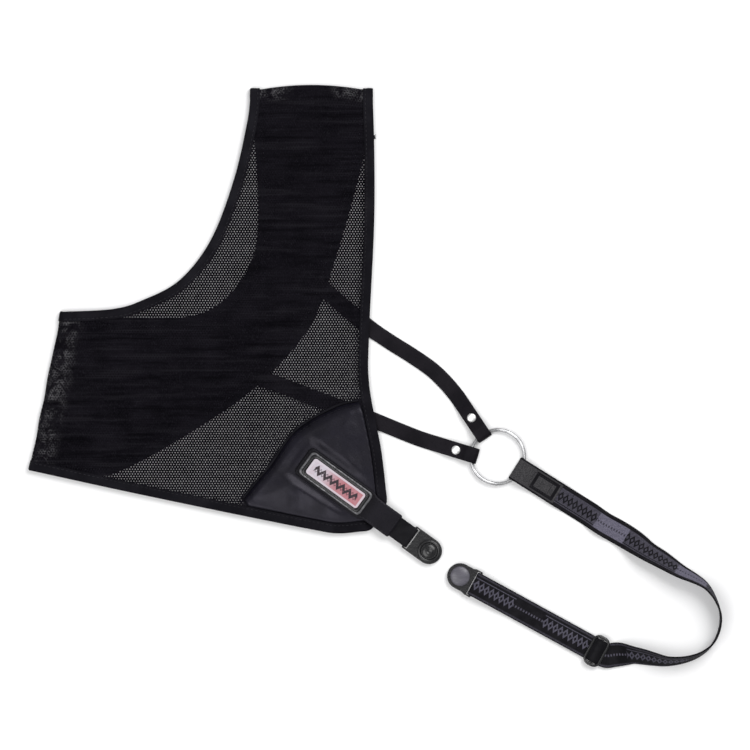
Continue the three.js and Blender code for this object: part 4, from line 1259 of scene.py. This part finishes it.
def stud_half():
    top = STUD_Z + CLIP["thick"] / 2
    collar = ring_lathe(raised(top, [
        (6.3, -0.5), (9.4, -0.5), (9.3, 0.1), (9.0, 0.6), (8.5, 0.95), (7.9, 1.1), (7.3, 1.0), (6.8, 0.7),
        (6.45, 0.3)]), 72)
    clip("stud_clip_body", STUD_BAR, 9.1, CLIP["round"], STUD_Z, at_stud, "stud_half", "stud_clip", [collar])
    stud = lathe([
        (0, 0), (4.4, 0), (4.85, 0.12), (5.0, 0.45), (5.0, 1.3), (4.8, 1.6), (1.7, 1.7),
        *raised(top + GAP, [
            (1.7, 0), (5.0, 0), (5.35, 0.15), (5.35, 0.45), (5.1, 0.62), (3.1, 0.82), (2.7, 0.95),
            (2.5, 1.25), (2.52, 1.6), (2.85, 1.95), (3.1, 2.2), (3.0, 2.5), (2.6, 2.75), (1.9, 2.8),
            (1.6, 2.62), (0.8, 2.5), (0, 2.48)]),
    ])
    add_piece("press_stud", "clip_plastic", "stud_half", ["snap_stud"], stud, at_stud)


def socket_half():
    z, half = SOCKET["z"], BAND["wide"] / 2
    cap = lathe([(0, 1.9), (1.7, 1.9), *raised(z + CLIP["thick"] / 2 + GAP, [
        (1.7, 0), (7.2, 0), (7.65, 0.15), (7.8, 0.45), (7.6, 0.8), (7.0, 1.15), (5.9, 1.5), (4.4, 1.85),
        (2.6, 2.05), (1.2, 2.1), (0, 2.11)])], 72)
    socket = ring_lathe([
        (3.7, 0.15), (3.9, 0), (5.4, 0), (5.7, 0.15), (5.8, 0.5), *raised(z - CLIP["thick"] / 2 - GAP, [
            (5.8, -0.15), (5.65, 0), (2.1, 0), (2, -0.1), (2, -0.4), (3.5, -0.5), (3.7, -0.65)]),
    ])
    spring = tube(at_height(arc_points(0, 0, 3.2, 20, 340, 64), 0.6), 0.25, 10, 0.3)
    made = [clip("socket_clip_body", SOCKET["bar"], half + 0.3, half + 1.5, z, at_socket, "socket_half",
                 "socket_clip")]
    for name, slot, node, shape in (("press_cap", "cap_plastic", "snap_cap", cap),
                                    ("press_socket", "socket_steel", "snap_socket", socket),
                                    ("press_spring", "socket_steel", "snap_spring", spring)):
        made.append(add_piece(name, slot, "socket_half", [node], shape, at_socket))
    return made


def slider():
    """Two-slot slider, with the band's weave over its middle bar."""
    low = BAND_OVER + BAND_LOW + GAP
    high = low + 1.9
    edge = rim(rounded_rectangle(15, 26, 6.2), rounded_rectangle(10.2, 20.4, 2.4), [
        *raised(low, [(0.1, 0.1), (0, 0.5)]),
        *raised(high, [(0, -0.75), (0.12, -0.25), (0.35, 0), (0.7, 0), (0.92, -0.2), (1, -0.6)]),
        *raised(low, [(1, 0.4), (0.85, 0.05), (0.5, 0)]),
    ])
    middle = cross_line(11.4, 15, 0, (low + high) / 2)
    bar = sweep((middle, [1, 0, 0], [0, 0, 1]), flat_section(2.6, 1.8, 0.1, 4))
    rise = [*raised(low, [(-6.0, -0.25), (-4.8, -0.05), (-3.3, 0.9)]),
            *raised(high, [(-2.0, 0.2), (-0.9, 0.72)])]
    hump = [*rise, (0, high + 0.85), *[(-x, z) for x, z in rise[::-1]]]
    route = smoothed(spaced([(x, 0, z) for x, z in hump], step=0.45), 3)
    over_bar = strip(route, [0, 1, 0], flat_section(BAND["wide"] - 0.4, 1.1, 0.05, 10))
    return [
        add_piece("slider_frame", "clip_plastic", "slider", ["slider"], merged([edge, bar]), at_slider),
        add_piece("band_over_bar", "elastic_webbing", "slider", [], over_bar, at_slider, "plain_webbing"),
    ]


stud_half()
socket_pieces = socket_half()
slid_pieces = slider()


# ---- straps, rivets and ring

UPPER_WAY = way(-56.2)
LOWER_WAY = way(-17)


def strap(name, free, crossing, heading, past, rivet_at, nodes):
    """A leather strap from its sewn end under the mesh to its riveted loop round the ring."""
    low = STRAP["thick"] / 2
    wrap = RING["wire"] + GAP + low
    lead = spline([*free, (*(crossing + heading * (rivet_at - 20)), low)], step=2.0)
    side = left_of(tangents(lead[:, :2]))
    loop = on_line([
        (rivet_at - 12, low + 1), (rivet_at - 5, 3.65), (rivet_at + 4.2, 3.65),
        (past - 6.4, RING["z"] + wrap),
        *half_turn(past, RING["z"], wrap),
        (past - 6.4, low + 0.1), (rivet_at + 4.2, 1.85), (rivet_at - 5, 1.85),
    ], crossing, heading)
    line = smoothed(spaced(np.vstack([at_height(np.hstack([lead, side]), 0), loop]), step=0.8))
    section = flat_section(STRAP["wide"], STRAP["thick"], 0.12, 10)
    points, faces, places = strip(line[:, :3], unit(line[:, 3:]), section)
    piece = add_mesh(name, points, faces, finishes["strap_leather"], places)
    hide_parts(*nodes)
    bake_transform(piece)
    return crossing + heading * rivet_at


def rivet(name, place, node):
    """Two domed caps on a post."""
    caps = lathe([
        (0, 0), (2.5, 0), (3.0, 0.12), (3.2, 0.42), (3.1, 0.7), (1.7, 0.8), (1.7, 4.6), (3.55, 4.55),
        (3.68, 4.75), (3.62, 5.05), (3.35, 5.45), (2.8, 5.8), (2.0, 6.03), (1.0, 6.13), (0, 6.15),
    ], 48)
    add_piece(name, "plated_steel", "ring_straps", [node], caps, laid_at(place), "bright_nickel")


def ring():
    angle = full_turn(24)
    wire = [RING["r"], RING["z"]] + RING["wire"] * np.column_stack([np.cos(angle), np.sin(angle)])
    add_piece("wire_ring", "plated_steel", "ring", ["o_ring"], ring_lathe(wire, 160), laid_at(RING["at"]))


def box_stitching():
    """The stitched rectangle that closes the band's loop at the ring."""
    corners = np.array([(32, -5.6), (49, -5.6), (49, 5.6), (32, 5.6)])
    on_band = laid_at(RING["at"], BAND_ANGLE)

    def thread(plan):
        climb = np.interp(plan[:, 0], [24.6, 38], [3.4, 0])
        return on_band(at_height(plan, BAND_OVER + BAND_LOW + 0.02 + 0.12 * ARCH + climb))

    strands = stitches_along(spaced(looped(corners), 0.4), thread, pitch=2.3, long=1.7, radius=0.3, spare=1.8)
    return add_thread("box_stitches", "elastic_webbing", "band", strands)


upper_spot = strap("upper_leather_strap", [
    (30, 34.1, 3.15), (38, 27.4, 3.15), (52, 15.2, 2.4), (66, 3.4, 0.95), (78, -6, 0.75), (92, -15.4, 0.75),
    (108, -25.4, 0.75), (124, -36.6, 0.75), (135.6, -47.8, 0.75),
], RING["at"] - UPPER_WAY * RING["r"], UPPER_WAY, 1.2, -16, ["upper_strap", "upper_strap_root"])
lower_spot = strap("lower_leather_strap", [
    (-16, -42.6, 3.15), (2, -48.6, 3.15), (22, -56.2, 2.4), (44, -64.4, 0.95), (70, -74, 0.75),
    (92, -83, 0.75), (112, -91, 0.75),
], np.array([154.9, -104.4]), LOWER_WAY, 2.8, -12.4, ["lower_strap", "lower_strap_root"])
rivet("upper_rivet_caps", upper_spot, "upper_rivet")
rivet("lower_rivet_caps", lower_spot, "lower_rivet")
ring()
band_stitches = box_stitching()


# ---- floor and light

half = FLOOR["side"] / 2
corners = [(x * half, y * half, FLOOR["z"]) for x, y in ((-1, -1), (1, -1), (1, 1), (-1, 1))]
add_mesh("floor", corners, [[0, 1, 2, 3]], floor_finish())


def lamp(name, place, aim, size, power):
    data = bpy.data.lights.new(name, "AREA")
    data.shape = "SQUARE"
    data.size = size
    data.energy = power
    light = add_object(name, data)
    light.location = place
    direction = np.subtract(aim, place)
    tilt = math.acos(-direction[2] / np.linalg.norm(direction))
    light.rotation_euler = (tilt, 0, math.atan2(direction[1], direction[0]) - math.pi / 2)


lamp("key", (0.85, 0.75, 1.35), (0.08, -0.04, 0), 1.1, 22)
lamp("fill", (-0.5, -0.6, 1.5), (0.08, -0.04, 0), 1.2, 13)
world = bpy.data.worlds.new("world")
world.use_nodes = True
sky = world.node_tree.nodes["Background"].inputs
sky["Color"].default_value = (1, 1, 1, 1)
sky["Strength"].default_value = 0.42
bpy.context.scene.world = world
bpy.context.scene.view_settings.view_transform = "Standard"
